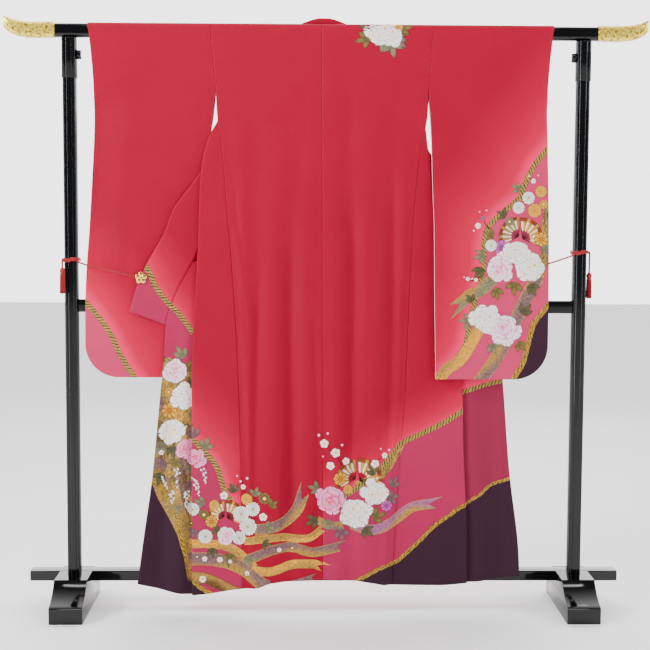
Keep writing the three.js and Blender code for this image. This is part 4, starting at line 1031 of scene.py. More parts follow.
# Wound cord, clips and tassels; a skirt's strands sit on a spiral, its turn the golden angle.
skirt = {"strands": 90, "turn": 2.39996, "reach": 7.0, "flare": 1.12, "long": 54, "uneven": 3.5, "half": 0.72,
         "root": 23}
for name, t in ties.items():
    x, half, r = t["sign"] * s["postX"], tie["postHalf"] + tie["thick"] / 2, tie["thick"] / 2
    path = []
    turns = tie["turns"]
    for a in np.linspace(0, turns * 2 * math.pi, turns * 48):
        c, sn = math.cos(a - math.pi / 2), math.sin(a - math.pi / 2)
        z = t["top"] - r - (turns - 1) * tie["thick"] * a / (turns * 2 * math.pi)
        path.append((x + half * math.copysign(abs(c)**0.36, c), half * math.copysign(abs(sn)**0.36, sn), z))
    wound = loft(f"wound{name.title()}", twistedRings(path, tie["thick"] * 0.84), redCord, angle=None)
    finishPiece(wound, [f"wrap_{name}"])

    # Clip: five domed petals round a button.
    cx, cy, cz = t["clip"]
    bm = bmesh.new()
    for k in range(5):
        a = k / 5 * 2 * math.pi
        made = bmesh.ops.create_uvsphere(bm, u_segments=14, v_segments=8, radius=1.0)["verts"]
        shape = Matrix.Rotation(a, 4, "Y") @ Matrix.Translation((0, -2.0, 10.2)) @ Matrix.Diagonal((7.2, 1.9,
            7.6, 1))
        bmesh.ops.transform(bm, matrix=shape, verts=made)
    made = bmesh.ops.create_uvsphere(bm, u_segments=16, v_segments=10, radius=1.0)["verts"]
    bmesh.ops.transform(bm, matrix=Matrix.Translation((0, -2.2, 0)) @ Matrix.Diagonal((5.2, 1.75, 5.2, 1)),
                        verts=made)
    for v in bm.verts:
        v.co = (v.co + Vector((cx, cy, cz))) * mm
    clip = shadeSmooth(addObject(f"clip{name.title()}", bm, clipGold), 60)
    finishPiece(clip, [f"clip_{name}"])
    obj, path = tiePieces[name]

    # Tassel: a bound head on a stem, and its strands.
    tx, ty, tz = t["tassel"]
    stem = t["stemTop"] - tz
    profile = [(0.01, -24), (7.6, -24), (8, -23), (8, -21.5), (6.3, -20.6), (6.3, -19.8), (6.9, -19.2),
               (6.3, -18.6), (6.3, -17.8), (6.9, -17.2), (6.3, -16.6), (6.6, -15.8), (7.8, -14), (8, -11),
               (7.6, -7.5), (6, -4.5), (3.4, -2), (2.5, 0), (2.5, stem), (0.01, stem)]
    rings = [[(tx + r * math.cos(a), ty + r * math.sin(a), tz + z)
              for a in np.arange(24) / 24 * 2 * math.pi] for r, z in profile]
    head = loft(f"tassel{name.title()}", rings, redCord, angle=50)
    strands = bmesh.new()
    strands.from_mesh(head.data)
    chance = random.Random(7)
    for k in range(skirt["strands"]):
        a, ringAt = k * skirt["turn"], math.sqrt((k + 0.5) / skirt["strands"])
        r0, spread = skirt["reach"] * ringAt, skirt["flare"] + chance.uniform(-0.04, 0.1)
        long = skirt["long"] - chance.uniform(0, skirt["uneven"])
        made = bmesh.ops.create_grid(strands, x_segments=4, y_segments=6, size=0.5)["verts"]
        for i, v in enumerate(made):
            row, column = divmod(i, 5)
            b = column % 4 / 4 * 2 * math.pi
            f = row / 6
            bend = 1 + (spread - 1) * f
            half = skirt["half"] * (1 - 0.25 * f)
            v.co = Vector((tx + r0 * bend * math.cos(a) + half * math.cos(b),
                           ty + r0 * bend * math.sin(a) + half * math.sin(b),
                           tz - skirt["root"] - long * f)) * mm
    bmesh.ops.remove_doubles(strands, verts=strands.verts, dist=2e-6)
    bmesh.ops.holes_fill(strands, edges=[e for e in strands.edges if e.is_boundary], sides=0)
    bmesh.ops.recalc_face_normals(strands, faces=strands.faces)
    strands.to_mesh(head.data)
    strands.free()
    shadeSmooth(head, 50)
    finishPiece(head, [f"tassel_{name}"])
print("ties and tassels made")


# The dyed pattern: flat shapes drawn across and up, then laid on the panels.
chance = random.Random(11)
tones = {  # light, deep, line
    "ivory": [(255, 255, 250), (196, 176, 130), (112, 96, 74)],
    "white": [(255, 255, 255), (255, 226, 206), (170, 118, 108)],
    "blush": [(255, 255, 255), (255, 120, 186), (190, 72, 130)],
    "pink": [(255, 176, 214), (232, 50, 116), (168, 40, 84)],
    "mauve": [(210, 93, 176), (136, 60, 125), (102, 46, 90)],
    "gold": [(238, 176, 60), (190, 116, 30), (84, 44, 18)],
    "olive": [(134, 114, 62), (86, 76, 44), (58, 54, 30)],
    "moss": [(100, 92, 62), (68, 66, 46), (48, 47, 30)], "sage": [(138, 131, 93), (93, 90, 72), (67, 61, 55)],
    "grey": [(137, 101, 100), (97, 71, 78), (72, 48, 59)],
    "ochre": [(186, 142, 62), (138, 102, 50), (96, 67, 34)],
    "dust": [(158, 128, 66), (112, 90, 56), (80, 62, 40)],
    "lilac": [(180, 106, 150), (129, 73, 111), (94, 50, 77)],
    "brown": [(106, 74, 44), (78, 52, 33), (55, 32, 21)],
}
ink = {k: [np.array(paint(*c)) for c in v] for k, v in tones.items()}
yolk, stem = np.array(paint(220, 156, 20)), np.array(paint(63, 43, 29))


def newCanvas():
    bm = bmesh.new()
    bm.verts.layers.float_color.new("tint")
    return bm


# one grid moved into shape(s, t) -> (x, lift, z), dyed colour(s, t)
def stamp(bm, acrossAt, alongAt, shape, colour, fleck=0.0):
    tint = bm.verts.layers.float_color["tint"]
    made = bmesh.ops.create_grid(bm, x_segments=len(acrossAt) - 1, y_segments=len(alongAt) - 1,
                                 size=0.5)["verts"]
    for i, v in enumerate(made):
        t, s = alongAt[i // len(acrossAt)], acrossAt[i % len(acrossAt)]
        v.co = shape(s, t)
        v[tint] = (*np.clip(colour(s, t), 0, 1), 1 - fleck)


lobes = [(-1, -0.88, -0.62, -0.4, -0.32, -0.24, 0, 0.24, 0.32, 0.4, 0.62, 0.88, 1),
         (-1, -0.86, -0.5, -0.12, 0, 0.12, 0.5, 0.86, 1)]
notches = [(-0.32, 0.32), (0,)]
petalT = (0, 0.3, 0.6, 0.84, 0.94, 0.985, 1)


def petal(bm, at, angle, length, width, lift, tone, frill=0.06, full=0.62, fine=True):
    c, sn = math.cos(angle), math.sin(angle)
    light, deep, line = ink[tone]
    kind, warp = chance.randrange(2), chance.uniform(-0.12, 0.12)

    def shape(s, t):
        w = width / 2 * max(0.02, math.sin(math.pi * min(1, 0.02 if t < 1e-6 else t * full)))**0.8
        px = s * w + warp * length * t * t * 0.5
        notch = frill if fine and any(abs(s - n) < 1e-6 for n in notches[kind]) else 0
        pz = t * length * (1 - 0.22 * s * s * t - notch * t)
        return at[0] + px * c - pz * sn, lift + 0.2 * (1 - s * s) * t, at[1] + px * sn + pz * c

    def colour(s, t):
        if abs(s) > 0.95 or t > 0.96:
            return line
        vein = 0.2 * math.cos(s * 10 + kind) * (1 - t)
        return lerp(deep, light, min(1, max(0, (t - 0.52) * 2.6 - 0.15 * abs(s) + vein)))
    stamp(bm, lobes[kind] if fine else (-1, -0.72, 0, 0.72, 1), petalT if fine else (0, 0.4, 0.8, 0.93, 1),
          shape, colour)


def disc(bm, at, radius, lift, inner, outer, around=10, rings=2):
    def shape(s, t):
        a = s * 2 * math.pi
        return at[0] + radius * t * math.cos(a), lift, at[1] + radius * t * math.sin(a)
    stamp(bm, [k / around for k in range(around + 1)], [k / rings for k in range(rings + 1)], shape,
          lambda s, t: lerp(inner, outer, t))


# seen a little from the side: its heart sits off the middle
def peony(bm, x, z, size, turn=0.0, tone="white", lift=0.9):
    rings = [(6, 0.6, 0.46, 0), (6, 0.48, 0.42, 0.5), (5, 0.34, 0.36, 0.2), (5, 0.23, 0.26, 0.7),
             (4, 0.13, 0.18, 0.1)]
    for level, (count, reach, wide, offset) in enumerate(rings):
        cx, cz = x + 0.035 * size * level * math.cos(turn), z + 0.035 * size * level * math.sin(turn)
        for k in range(count):
            a = turn + (k + offset) / count * 2 * math.pi + chance.uniform(-0.16, 0.16)
            near = 1 - 0.1 * level * math.cos(a + math.pi / 2 - turn)
            petal(bm, (cx, cz), a, size * reach * near * chance.uniform(0.74, 1.08),
                  size * wide * chance.uniform(0.8, 1.15),
                  lift + level * 0.27 + k * 0.035, tone, 0.24)
        if level == 4:
            disc(bm, (cx, cz), size * 0.035, lift + 1.5, yolk, yolk * 0.8, 7, 1)


def chrysanthemum(bm, x, z, size, turn=0.0, tone="white", lift=0.9):
    for level, (count, reach, wide) in enumerate([(18, 0.5, 0.17), (15, 0.39, 0.15), (11, 0.27, 0.14),
                                                  (7, 0.15, 0.12)]):
        for k in range(count):
            a = turn + (k + level * 0.5) / count * 2 * math.pi
            petal(bm, (x, z), a, size * reach, size * wide, lift + level * 0.26 + k % 3 * 0.05, tone, 0.0,
                  0.6, fine=False)
    disc(bm, (x, z), size * 0.05, lift + 1.2, yolk, yolk * 0.6, 8, 1)


def daisy(bm, x, z, size, turn=0.0, tone="olive", lift=0.8):
    for k in range(12):
        petal(bm, (x, z), turn + k / 12 * 2 * math.pi, size * 0.5, size * 0.2, lift, tone, 0.0, 0.7,
              fine=False)
    disc(bm, (x, z), size * 0.16, lift + 0.3, np.array(paint(250, 246, 200)), yolk)


def plumBlossom(bm, x, z, size, turn=0.0, tone="white", lift=0.8):
    for k in range(5):
        a = turn + k / 5 * 2 * math.pi
        petal(bm, (x, z), a, size * 0.5, size * 0.46, lift, tone, 0.0, 0.66)
    disc(bm, (x, z), size * 0.09, lift + 0.3, yolk, yolk * 0.7, 6, 1)


def leaf(bm, x, z, length, width, angle, tone="moss", lift=0.65):
    light, deep, line = ink[tone]
    c, sn = math.cos(angle), math.sin(angle)
    sweep = chance.uniform(-0.16, 0.16)

    def shape(s, t):
        w = width / 2 * math.sin(math.pi * t**0.8)**0.85 * (1 + 0.1 * math.sin(t * 19) * (abs(s) > 0.9))
        px, pz = s * w + sweep * length * t * t, t * length
        return x + px * c - pz * sn, lift + 0.12 * (1 - s * s), z + px * sn + pz * c

    def colour(s, t):
        if abs(s) < 0.05:
            return line
        return lerp(deep, light, 0.5 + 0.5 * math.sin(abs(s) * 3 - t * 9)) if abs(s) < 0.9 else deep
    stamp(bm, (-1, -0.5, -0.07, 0, 0.07, 0.5, 1), (0, 0.12, 0.3, 0.5, 0.7, 0.88, 1), shape, colour)


def spray(bm, x, z, size, angle, tone="moss", lift=0.65):  # three leaves from one place, as a peony's
    for k, (off, reach) in enumerate(((-0.75, 0.8), (0, 1.0), (0.75, 0.8))):
        leaf(bm, x, z, size * reach, size * 0.38, angle + off, tone, lift + 0.06 * k)


def spline(points, count):
    return throughPoints([(p[0], 0, p[1]) for p in points], count)[:, [0, 2]]


def strip(bm, points, width, colour, lift, count=None, across=(-1, -0.84, -0.4, 0, 0.4, 0.84, 1), taper=None,
          fork=False,
          fleck=0.0):
    path = spline(points, count or max(8, int(sum(math.dist(a, b) for a, b in zip(points, points[1:])) / 6)))
    way = np.gradient(path, axis=0)
    way /= np.linalg.norm(way, axis=1)[:, None]
    length = len(path) - 1

    def shape(s, t):
        k = int(round(t * length))
        w = width / 2 * (taper(t) if taper else 1)
        p, d = path[k], way[k]
        late = max(0, k - length + 4) / 4 if fork else 0
        slip = width * ((1.1 * max(0, s) + 0.3 * max(0, -s)) * (k == length) - 0.42 * (1 - abs(s)) * late)
        return p[0] - d[1] * s * w + d[0] * slip, lift + 0.06 * math.sin(t
            * 40), p[1] + d[0] * s * w + d[1] * slip
    stamp(bm, across, [k / length for k in range(length + 1)], shape, colour, fleck)


def ribbon(bm, points, width, upperTone="grey", lowerTone="ochre", lift=0.35, fork=True):
    up, low, lift = ink[upperTone], ink[lowerTone], lift + 0.14

    def colour(s, t):
        if abs(s) > 0.9:
            return low[0]
        blend = 0.5 + 0.5 * math.tanh((s + 0.35 + 0.6 * math.sin(t * 7)) * 2.8)
        return lerp(lerp(low[1], low[0], 0.6), lerp(up[1], up[0], 0.5), blend)
    strip(bm, points, width, colour, lift, fork=fork, fleck=0.75)


def goldGround(bm, points, width, lift=0.12, tone="ochre", taper=None, other="olive"):  # a cloud of gold dust
    a, b = ink[tone], ink[other]

    def colour(s, t):
        cloud = math.sin(t * 31 + s * 3.1) * math.sin(s * 4.7 + t * 17)
        drift = 0.5 + 0.5 * math.sin(t * 13 - s * 5)
        return lerp(lerp(a[1], a[0], 0.5 + 0.5 * cloud), lerp(b[1], b[0], drift),
                    min(1, max(0, 0.25 - cloud) * 1.1))
    strip(bm, points, width, colour, lift, across=[k / 8 - 1 for k in range(17)], taper=taper, fleck=1.0)


def twig(bm, points, thick, blossoms=0, buds=0, size=12, lift=0.5):
    strip(bm, points, thick, lambda s, t: stem, lift, count=14, across=(-1, 1), taper=lambda t: 1 - 0.6 * t)
    path = spline(points, 40)
    for k in range(blossoms):
        p = path[int(39 * (0.25 + 0.7 * (k + 0.5) / blossoms))]
        plumBlossom(bm, p[0] + chance.uniform(-4, 4), p[1] + chance.uniform(-4, 4),
                    size * chance.uniform(0.85, 1.15), chance.uniform(0, 6))
    for k in range(buds):
        p = path[int(39 * (0.4 + 0.6 * (k + 0.5) / buds))]
        away = 7 if k % 2 else -7
        disc(bm, (p[0] + away, p[1] + chance.uniform(2, 8)), size * 0.2, lift + 0.3, ink["white"][0],
             ink["blush"][1], 7, 1)


def wisteria(bm, x, z, long, lean=0.0):  # a hanging spray of small loose blossoms
    count = int(long / 2.6)
    for k in range(count):
        t = k / count
        off = chance.uniform(-1, 1) * (8.5 * (1 - t)**0.7 + 1)
        tone = ink[chance.choice(("white", "white", "blush", "lilac"))]
        at = (x + off + lean * t * long, z - t * long)
        turn, size = chance.uniform(0, 6), lerp(2.5, 1.5, t)
        for a in (turn, turn + 2.1, turn + 4.2):
            disc(bm, (at[0] + size * 0.75 * math.cos(a), at[1] + size * 0.75 * math.sin(a)), size * 0.8,
                 0.95, tone[0], tone[0] * 0.8, 6, 1)


def handBall(bm, x, z, radius, tone="gold", lift=1.0):  # a thread ball: eight bands that meet in its middle
    light, deep, line = ink[tone]

    def shape(s, t):
        a = s * 2 * math.pi
        return x + radius * t * math.cos(a), lift + 0.2 * (1 - t), z + radius * t * math.sin(a)

    def colour(s, t):
        if t > 0.99 or abs((s * 8) % 1 - 0.5) < 0.08:
            return line
        star = abs(((s * 8) % 1) - 0.5) * 2
        return lerp(ink["white"][0], deep, 1.0) if t < 0.25 + 0.5 * star else light
    stamp(bm, [k / 32 for k in range(33)], (0, 0.3, 0.5, 0.7, 0.9, 1), shape, colour)


def paperFan(bm, x, z, radius, turn=0.0, spread=2.1, tone="gold", lift=0.75):  # an open folding fan
    folds = 12
    light, deep, line = ink[tone]
    edges = []
    for k in range(folds):
        edges += [k / folds, k / folds + 0.012, (k + 0.5) / folds, (k + 1) / folds - 0.012]
    edges.append(1.0)
    rib = np.array(paint(112, 14, 26))

    def shape(s, t):
        a = turn + (s - 0.5) * spread + math.pi / 2
        r = radius * lerp(0.36, 1, t)
        return x + r * math.cos(a), lift, z + r * math.sin(a)

    def colour(s, t):
        if t > 0.98 or t < 0.02 or abs(s * folds - round(s * folds)) < 0.02:
            return line
        if t > 0.72:
            return lerp(rib, light, 0.1 + 0.5 * (int(s * folds) % 3 == 0))
        return lerp(light, ink["ivory"][0], 0.5) if int(s * folds) % 2 else lerp(light, deep, 0.3 + t * 0.7)
    stamp(bm, edges, (0, 0.03, 0.35, 0.66, 0.76, 0.95, 1), shape, colour, 0.5)
    for k in range(0, folds + 1, 2):
        a = turn + (k / folds - 0.5) * spread + math.pi / 2
        strip(bm, [(x, z), (x + radius * 0.43 * math.cos(a), z + radius * 0.43 * math.sin(a))],
              radius * 0.035,
              lambda s, t: ink["brown"][2], lift - 0.05, count=3, across=(-1, 1))


def panelTree(grid, rows, columns):
    part = grid[rows, columns] * mm
    count, across = part.shape[:2]
    faces = [(i * across + j, i * across + j + 1, (i + 1) * across + j + 1, (i + 1) * across + j)
             for i in range(count - 1) for j in range(across - 1)]
    points = part.reshape(-1, 3)
    return BVHTree.FromPolygons([tuple(p) for p in points], faces), points


# moves a copy of a drawn group onto a panel; way 1 is from the -Y side
def layOn(target, group, panel, way=1):
    tree, points = panel
    low, high = points.min(0), points.max(0)
    mesh = bpy.data.meshes.new("drawn")
    group.to_mesh(mesh)
    bm = bmesh.new()
    bm.from_mesh(mesh)
    bpy.data.meshes.remove(mesh)
    missed = set()
    depth = float(points[:, 1].mean())
    proud = cloth["thick"] / 2 + 0.3
    for v in bm.verts:
        x, lift, z = v.co
        x, z = x * mm, z * mm
        start = Vector((x, -0.6 * way, z))
        place, normal = tree.ray_cast(start, Vector((0, way, 0)))[:2]
        if place is None:
            missed.add(v)
            inside = low[0] - 0.06 < x < high[0] + 0.06 and low[2] - 0.06 < z < high[2] + 0.06
            place, normal = tree.find_nearest(Vector((x, depth, z)))[:2] if inside else (start,
                Vector((0, -1, 0)))
        if normal.y * way > 0:
            normal = -normal
        v.co = place + normal * (proud + lift) * mm
    gone = [f for f in bm.faces if all(v in missed for v in f.verts)]
    bmesh.ops.delete(bm, geom=gone, context="FACES")
    stray = [v for v in bm.verts if not v.link_faces]
    bmesh.ops.delete(bm, geom=stray, context="VERTS")
    bmesh.ops.dissolve_degenerate(bm, dist=1e-6, edges=bm.edges)
    if len(bm.faces):
        for f in bm.faces:
            if f.normal.y * way > 0:
                f.normal_flip()
        mesh = bpy.data.meshes.new("laid")
        bm.to_mesh(mesh)
        target.from_mesh(mesh)
        bpy.data.meshes.remove(mesh)
    bm.free()


nBack = len(backZ)
bodyLeftGrid, bodyRightGrid = sheets["bodyLeft"][1], sheets["bodyRight"][1]
frontRows = slice(nBack + len(overT) + int(np.argmax(frontZ < 1330)), None)
sleeveWall = (sheets["sleeveLeft"][1].shape[0] - len(overT)) // 2
allOf = slice(None)
panels = {
    "backLeft": panelTree(bodyLeftGrid, slice(0, nBack + 4), allOf),
    "backRight": panelTree(bodyRightGrid, slice(0, nBack + 4), allOf),
    "frontLeft": panelTree(bodyLeftGrid, frontRows, slice(0, 29)),
    "frontRight": panelTree(bodyRightGrid, frontRows, slice(0, 29)),
    "wingLeft": panelTree(sheets["overlapLeft"][1], allOf, allOf),
    "wingRight": panelTree(sheets["overlapRight"][1], allOf, allOf),
    "sleeveLeft": panelTree(sheets["sleeveLeft"][1], slice(0, sleeveWall), allOf),
    "sleeveRight": panelTree(sheets["sleeveRight"][1], slice(0, sleeveWall), allOf),
    "sleeveLeftRear": panelTree(sheets["sleeveLeft"][1], slice(-sleeveWall, None), allOf),
    "sleeveRightRear": panelTree(sheets["sleeveRight"][1], slice(-sleeveWall, None), allOf),
}
collarRows = [i for i in range(sheets["collar"][1].shape[0]) if sheets["collar"][1][i, 0,
    0] < -300 and sheets["collar"][1][i, 0, 2] < 1200]
panels["collarLeft"] = panelTree(sheets["collar"][1], slice(collarRows[0], collarRows[-1] + 1), allOf)
print("panels ready for the pattern")


# Bands: printed strips that follow the edges of the ground colours.
def bandPiece(name, runs, look, width):  # runs: (panel, line, way)
    out = bmesh.new()
    for panelName, line, way in runs:
        group = newCanvas()
        path = spline(line, max(10, int(sum(math.dist(a, b) for a, b in zip(line, line[1:])) / 5)))
        uvAt = np.concatenate([[0], np.cumsum(np.linalg.norm(np.diff(path, axis=0), axis=1))]) * mm
        direction = np.gradient(path, axis=0)
        direction /= np.linalg.norm(direction, axis=1)[:, None]
        last = len(path) - 1
        tint = group.verts.layers.float_color["tint"]
        made = bmesh.ops.create_grid(group, x_segments=4, y_segments=last, size=0.5)["verts"]
        for i, v in enumerate(made):
            k, column = divmod(i, 5)
            s = column / 2 - 1
            p, d = path[k], direction[k]
            v.co = (p[0] - d[1] * s * width / 2, 0.3, p[1] + d[0] * s * width / 2)
            v[tint] = (uvAt[k], s * width / 2 * mm, 0, 1)
        layOn(out, group, panels[panelName], way)
        group.free()
    layer, tint = out.loops.layers.uv.new("band"), out.verts.layers.float_color["tint"]
    for f in out.faces:
        f.smooth = True
        for corner in f.loops:
            corner[layer].uv = corner.vert[tint][0:2]
    obj = addObject(name, out, look)
    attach(obj, root)
    return obj


def extended(line, start=18, end=18):
    line = [np.array(p, float) for p in line]
    first = line[0] + (line[0] - line[1]) / np.linalg.norm(line[0] - line[1]) * start
    last = line[-1] + (line[-1] - line[-2]) / np.linalg.norm(line[-1] - line[-2]) * end
    return [tuple(p) for p in [first] + line + [last]]


onSheet = {k: [] for k in ("bodyLeft", "bodyRight", "sleeveLeft", "sleeveRight", "overlapLeft",
                           "overlapRight", "collar")}
b = bands
onSheet["sleeveLeft"].append(bandPiece("bandSleeveLeft", [
    ("sleeveLeft", extended(b["leftSleeve"]["upper"]), 1),
    ("sleeveLeftRear", extended(b["leftSleeve"]["upper"]), -1)], upperBandLook, 15))
onSheet["sleeveRight"].append(bandPiece("bandSleeveRight", [
    ("sleeveRight", extended(b["rightSleeve"]["upper"]), 1),
    ("sleeveRightRear", extended(b["rightSleeve"]["upper"]), -1)], upperBandLook, 15))
onSheet["sleeveRight"].append(bandPiece("cornerBandSleeveRight", [
    ("sleeveRight", extended(b["rightSleeve"]["lower"]), 1),
    ("sleeveRightRear", extended(b["rightSleeve"]["lower"]), -1)], lowerBandLook, 15))
onSheet["overlapLeft"].append(bandPiece("bandOverlapLeft", [("wingLeft", b["leftWing"]["upper"], 1)],
                                        upperBandLook, 15))
onSheet["overlapLeft"].append(bandPiece("cornerBandOverlapLeft",
                                        [("wingLeft", extended(b["leftWing"]["lower"][:8], 10, 1), 1)],
                                        lowerBandLook, 15))
onSheet["collar"].append(bandPiece("bandCollar", [("collarLeft", b["leftWing"]["upper"], 1)], upperBandLook,
                                   15))
onSheet["bodyLeft"].append(bandPiece("bandFrontLeft", [("frontLeft", b["leftFront"]["upper"][:7], 1)],
                                     upperBandLook, 15))
onSheet["bodyLeft"].append(bandPiece("cornerBandFrontLeft",
                                     [("frontLeft", extended(b["leftFront"]["lower"], 2, 10), 1)],
                                     lowerBandLook, 13))
onSheet["bodyRight"].append(bandPiece("bandBack", [
    ("backRight", b["back"]["upper"], 1), ("frontRight", extended(b["back"]["upper"]), 1)], upperBandLook,
    15))
onSheet["bodyRight"].append(bandPiece("cornerBandBack", [
    ("backRight", extended(b["back"]["lower"]), 1), ("frontRight", extended(b["back"]["lower"]), 1)],
    lowerBandLook, 11))
onSheet["overlapRight"].append(bandPiece("bandOverlapRight",
                                         [("wingRight", extended(b["rightWing"]["upper"]), 1)],
                                         upperBandLook, 13))
onSheet["overlapRight"].append(bandPiece("cornerBandOverlapRight",
                                         [("wingRight", extended(b["rightWing"]["lower"]), 1)],
                                         lowerBandLook, 9))
print("bands laid")


# Flower groups: what, across, up, size, turn in degrees, tone.
drawers = {"peony": peony, "mum": chrysanthemum, "daisy": daisy, "plum": plumBlossom,
           "spray": lambda bm, x, z, size, turn, tone: spray(bm, x, z, size * 0.75, turn, tone),
           "leaf": lambda bm, x, z, size, turn, tone: leaf(bm, x, z, size, size * 0.45, turn, tone),
           "ball": lambda bm, x, z, size, turn, tone: handBall(bm, x, z, size / 2, tone),
           "fan": lambda bm, x, z, size, turn, tone: paperFan(bm, x, z, size, turn, 2.1, tone),
           "bud": lambda bm, x, z, size, turn, tone: disc(bm, (x, z), size / 2, 0.8, ink["white"][0],
                                                          ink[tone][1], 8, 1)}


def draw(bm, rows):
    for kind, x, z, size, degrees, tone in rows:
        drawers[kind](bm, x, z, size, math.radians(degrees), tone)


def sleeveGroup():
    bm = newCanvas()
    goldGround(bm, [(634, 1190), (626, 1110), (624, 1040), (612, 985)], 24, 0.12)
    ribbon(bm, [(490, 990), (444, 946), (412, 930), (372, 896)], 34, "sage", "ochre")
    ribbon(bm, [(606, 986), (562, 900), (520, 806), (486, 744), (446, 686)], 38, "grey", "ochre", 0.3,
           fork=False)
    ribbon(bm, [(442, 838), (392, 752), (348, 716), (326, 686)], 34, "gold", "ochre", 0.25, fork=False)
    draw(bm, [
        ("spray", 442, 1008, 50, 150, "moss"), ("spray", 452, 1046, 50, 110, "sage"),
        ("spray", 622, 1052, 50, -40, "sage"),
        ("spray", 540, 968, 58, 170, "olive"), ("spray", 584, 962, 52, -150, "moss"),
        ("spray", 484, 950, 50, -160, "olive"),
        ("spray", 414, 856, 52, 90, "sage"), ("spray", 562, 876, 54, -40, "moss"),
        ("spray", 474, 792, 52, 200, "sage"),
        ("spray", 548, 792, 46, -130, "olive"), ("spray", 552, 1230, 42, 60, "sage"),
        ("spray", 632, 1152, 40, -60, "moss"),
        ("spray", 478, 1100, 44, 80, "olive"), ("spray", 512, 1156, 42, 60, "moss"),
        ("spray", 420, 912, 40, 40, "moss"),
        ("fan", 560, 1092, 60, -54, "gold"), ("fan", 548, 1098, 56, 56, "ochre"),
        ("ball", 614, 1090, 40, 0, "gold"),
        ("ball", 500, 1066, 42, 20, "mauve"), ("mum", 470, 1072, 36, 10, "ivory"),
        ("mum", 612, 1226, 36, 0, "gold"),
        ("mum", 576, 1208, 38, 15, "ivory"), ("mum", 548, 1180, 36, 30, "ivory"),
        ("mum", 594, 1172, 42, 5, "gold"),
        ("daisy", 620, 1190, 26, 0, "gold"), ("daisy", 522, 1140, 26, 10, "sage"),
        ("peony", 544, 1052, 70, 120, "white"), ("peony", 584, 1012, 86, 20, "white"),
        ("peony", 496, 1006, 82, 230, "blush"),
        ("peony", 458, 862, 84, 30, "white"), ("peony", 514, 832, 92, 140, "blush"),
        ("plum", 432, 1128, 18, 15, "white"), ("plum", 446, 1150, 15, 40, "lilac"),
        ("bud", 420, 1114, 6, 0, "blush"),
        ("bud", 436, 1168, 5, 0, "blush"), ("bud", 456, 1172, 5, 0, "blush"),
        ("plum", 590, 1256, 15, 0, "white"),
        ("bud", 578, 1270, 6, 0, "white"), ("bud", 604, 1272, 5, 0, "blush")])
    twig(bm, [(478, 1104), (456, 1128), (444, 1158)], 3, 0, 0)
    twig(bm, [(450, 990), (420, 972), (396, 980)], 4, 2, 3, 13)
    return bm


def wingGroup():
    bm = newCanvas()
    goldGround(bm, [(-470, 742), (-458, 690), (-448, 640), (-446, 560), (-440, 480), (-434, 420),
                    (-424, 350), (-408, 280), (-396, 215), (-384, 140)], 150, 0.12, "dust",
               lambda t: min(1, 0.25 + t * 7) * (1 - 0.68 * float(smooth(t, 0.55, 0.95))), "ochre")
    goldGround(bm, [(-452, 560), (-462, 500), (-462, 430)], 56, 0.2, "brown",
               lambda t: math.sin(math.pi * (0.15 + 0.8 * t)), "moss")
    goldGround(bm, [(-412, 480), (-408, 380), (-400, 290)], 34, 0.2, "brown",
               lambda t: math.sin(math.pi * (0.15 + 0.8 * t)), "grey")
    goldGround(bm, [(-402, 640), (-400, 560), (-402, 480)], 30, 0.2, "ochre")
    draw(bm, [
        ("spray", -412, 744, 56, 20, "sage"), ("spray", -464, 738, 48, 80, "moss"),
        ("spray", -402, 706, 52, -20, "olive"),
        ("spray", -474, 676, 50, 120, "sage"), ("spray", -470, 622, 56, 110, "grey"),
        ("spray", -398, 664, 46, -50, "moss"),
        ("spray", -392, 570, 54, -60, "sage"), ("spray", -474, 560, 50, 130, "olive"),
        ("spray", -400, 520, 54, -60, "grey"),
        ("spray", -472, 498, 60, 140, "sage"), ("spray", -446, 488, 54, -170, "moss"),
        ("spray", -464, 444, 58, 120, "grey"),
        ("spray", -432, 450, 52, 160, "olive"), ("spray", -402, 432, 50, -130, "sage"),
        ("spray", -474, 408, 52, 150, "moss"),
        ("spray", -440, 404, 48, -160, "olive"), ("spray", -404, 376, 44, -100, "grey"),
        ("spray", -426, 318, 40, 170, "sage"),
        ("peony", -436, 706, 68, 60, "blush"), ("peony", -410, 632, 74, 120, "white"),
        ("ball", -452, 592, 44, 0, "gold"),
        ("ball", -424, 576, 30, 30, "gold"), ("daisy", -454, 646, 26, 0, "gold"),
        ("peony", -444, 530, 76, 40, "white"),
        ("peony", -404, 484, 58, 200, "pink"), ("daisy", -404, 546, 24, 0, "olive"),
        ("plum", -476, 470, 16, 0, "white"),
        ("daisy", -424, 664, 18, 0, "olive")])
    for x, z, long, lean in ((-430, 424, 60, 0.04), (-466, 398, 38, 0.12), (-404, 356, 52, 0.02),
                             (-446, 356, 38, 0.08)):
        wisteria(bm, x, z, long, lean)
    return bm


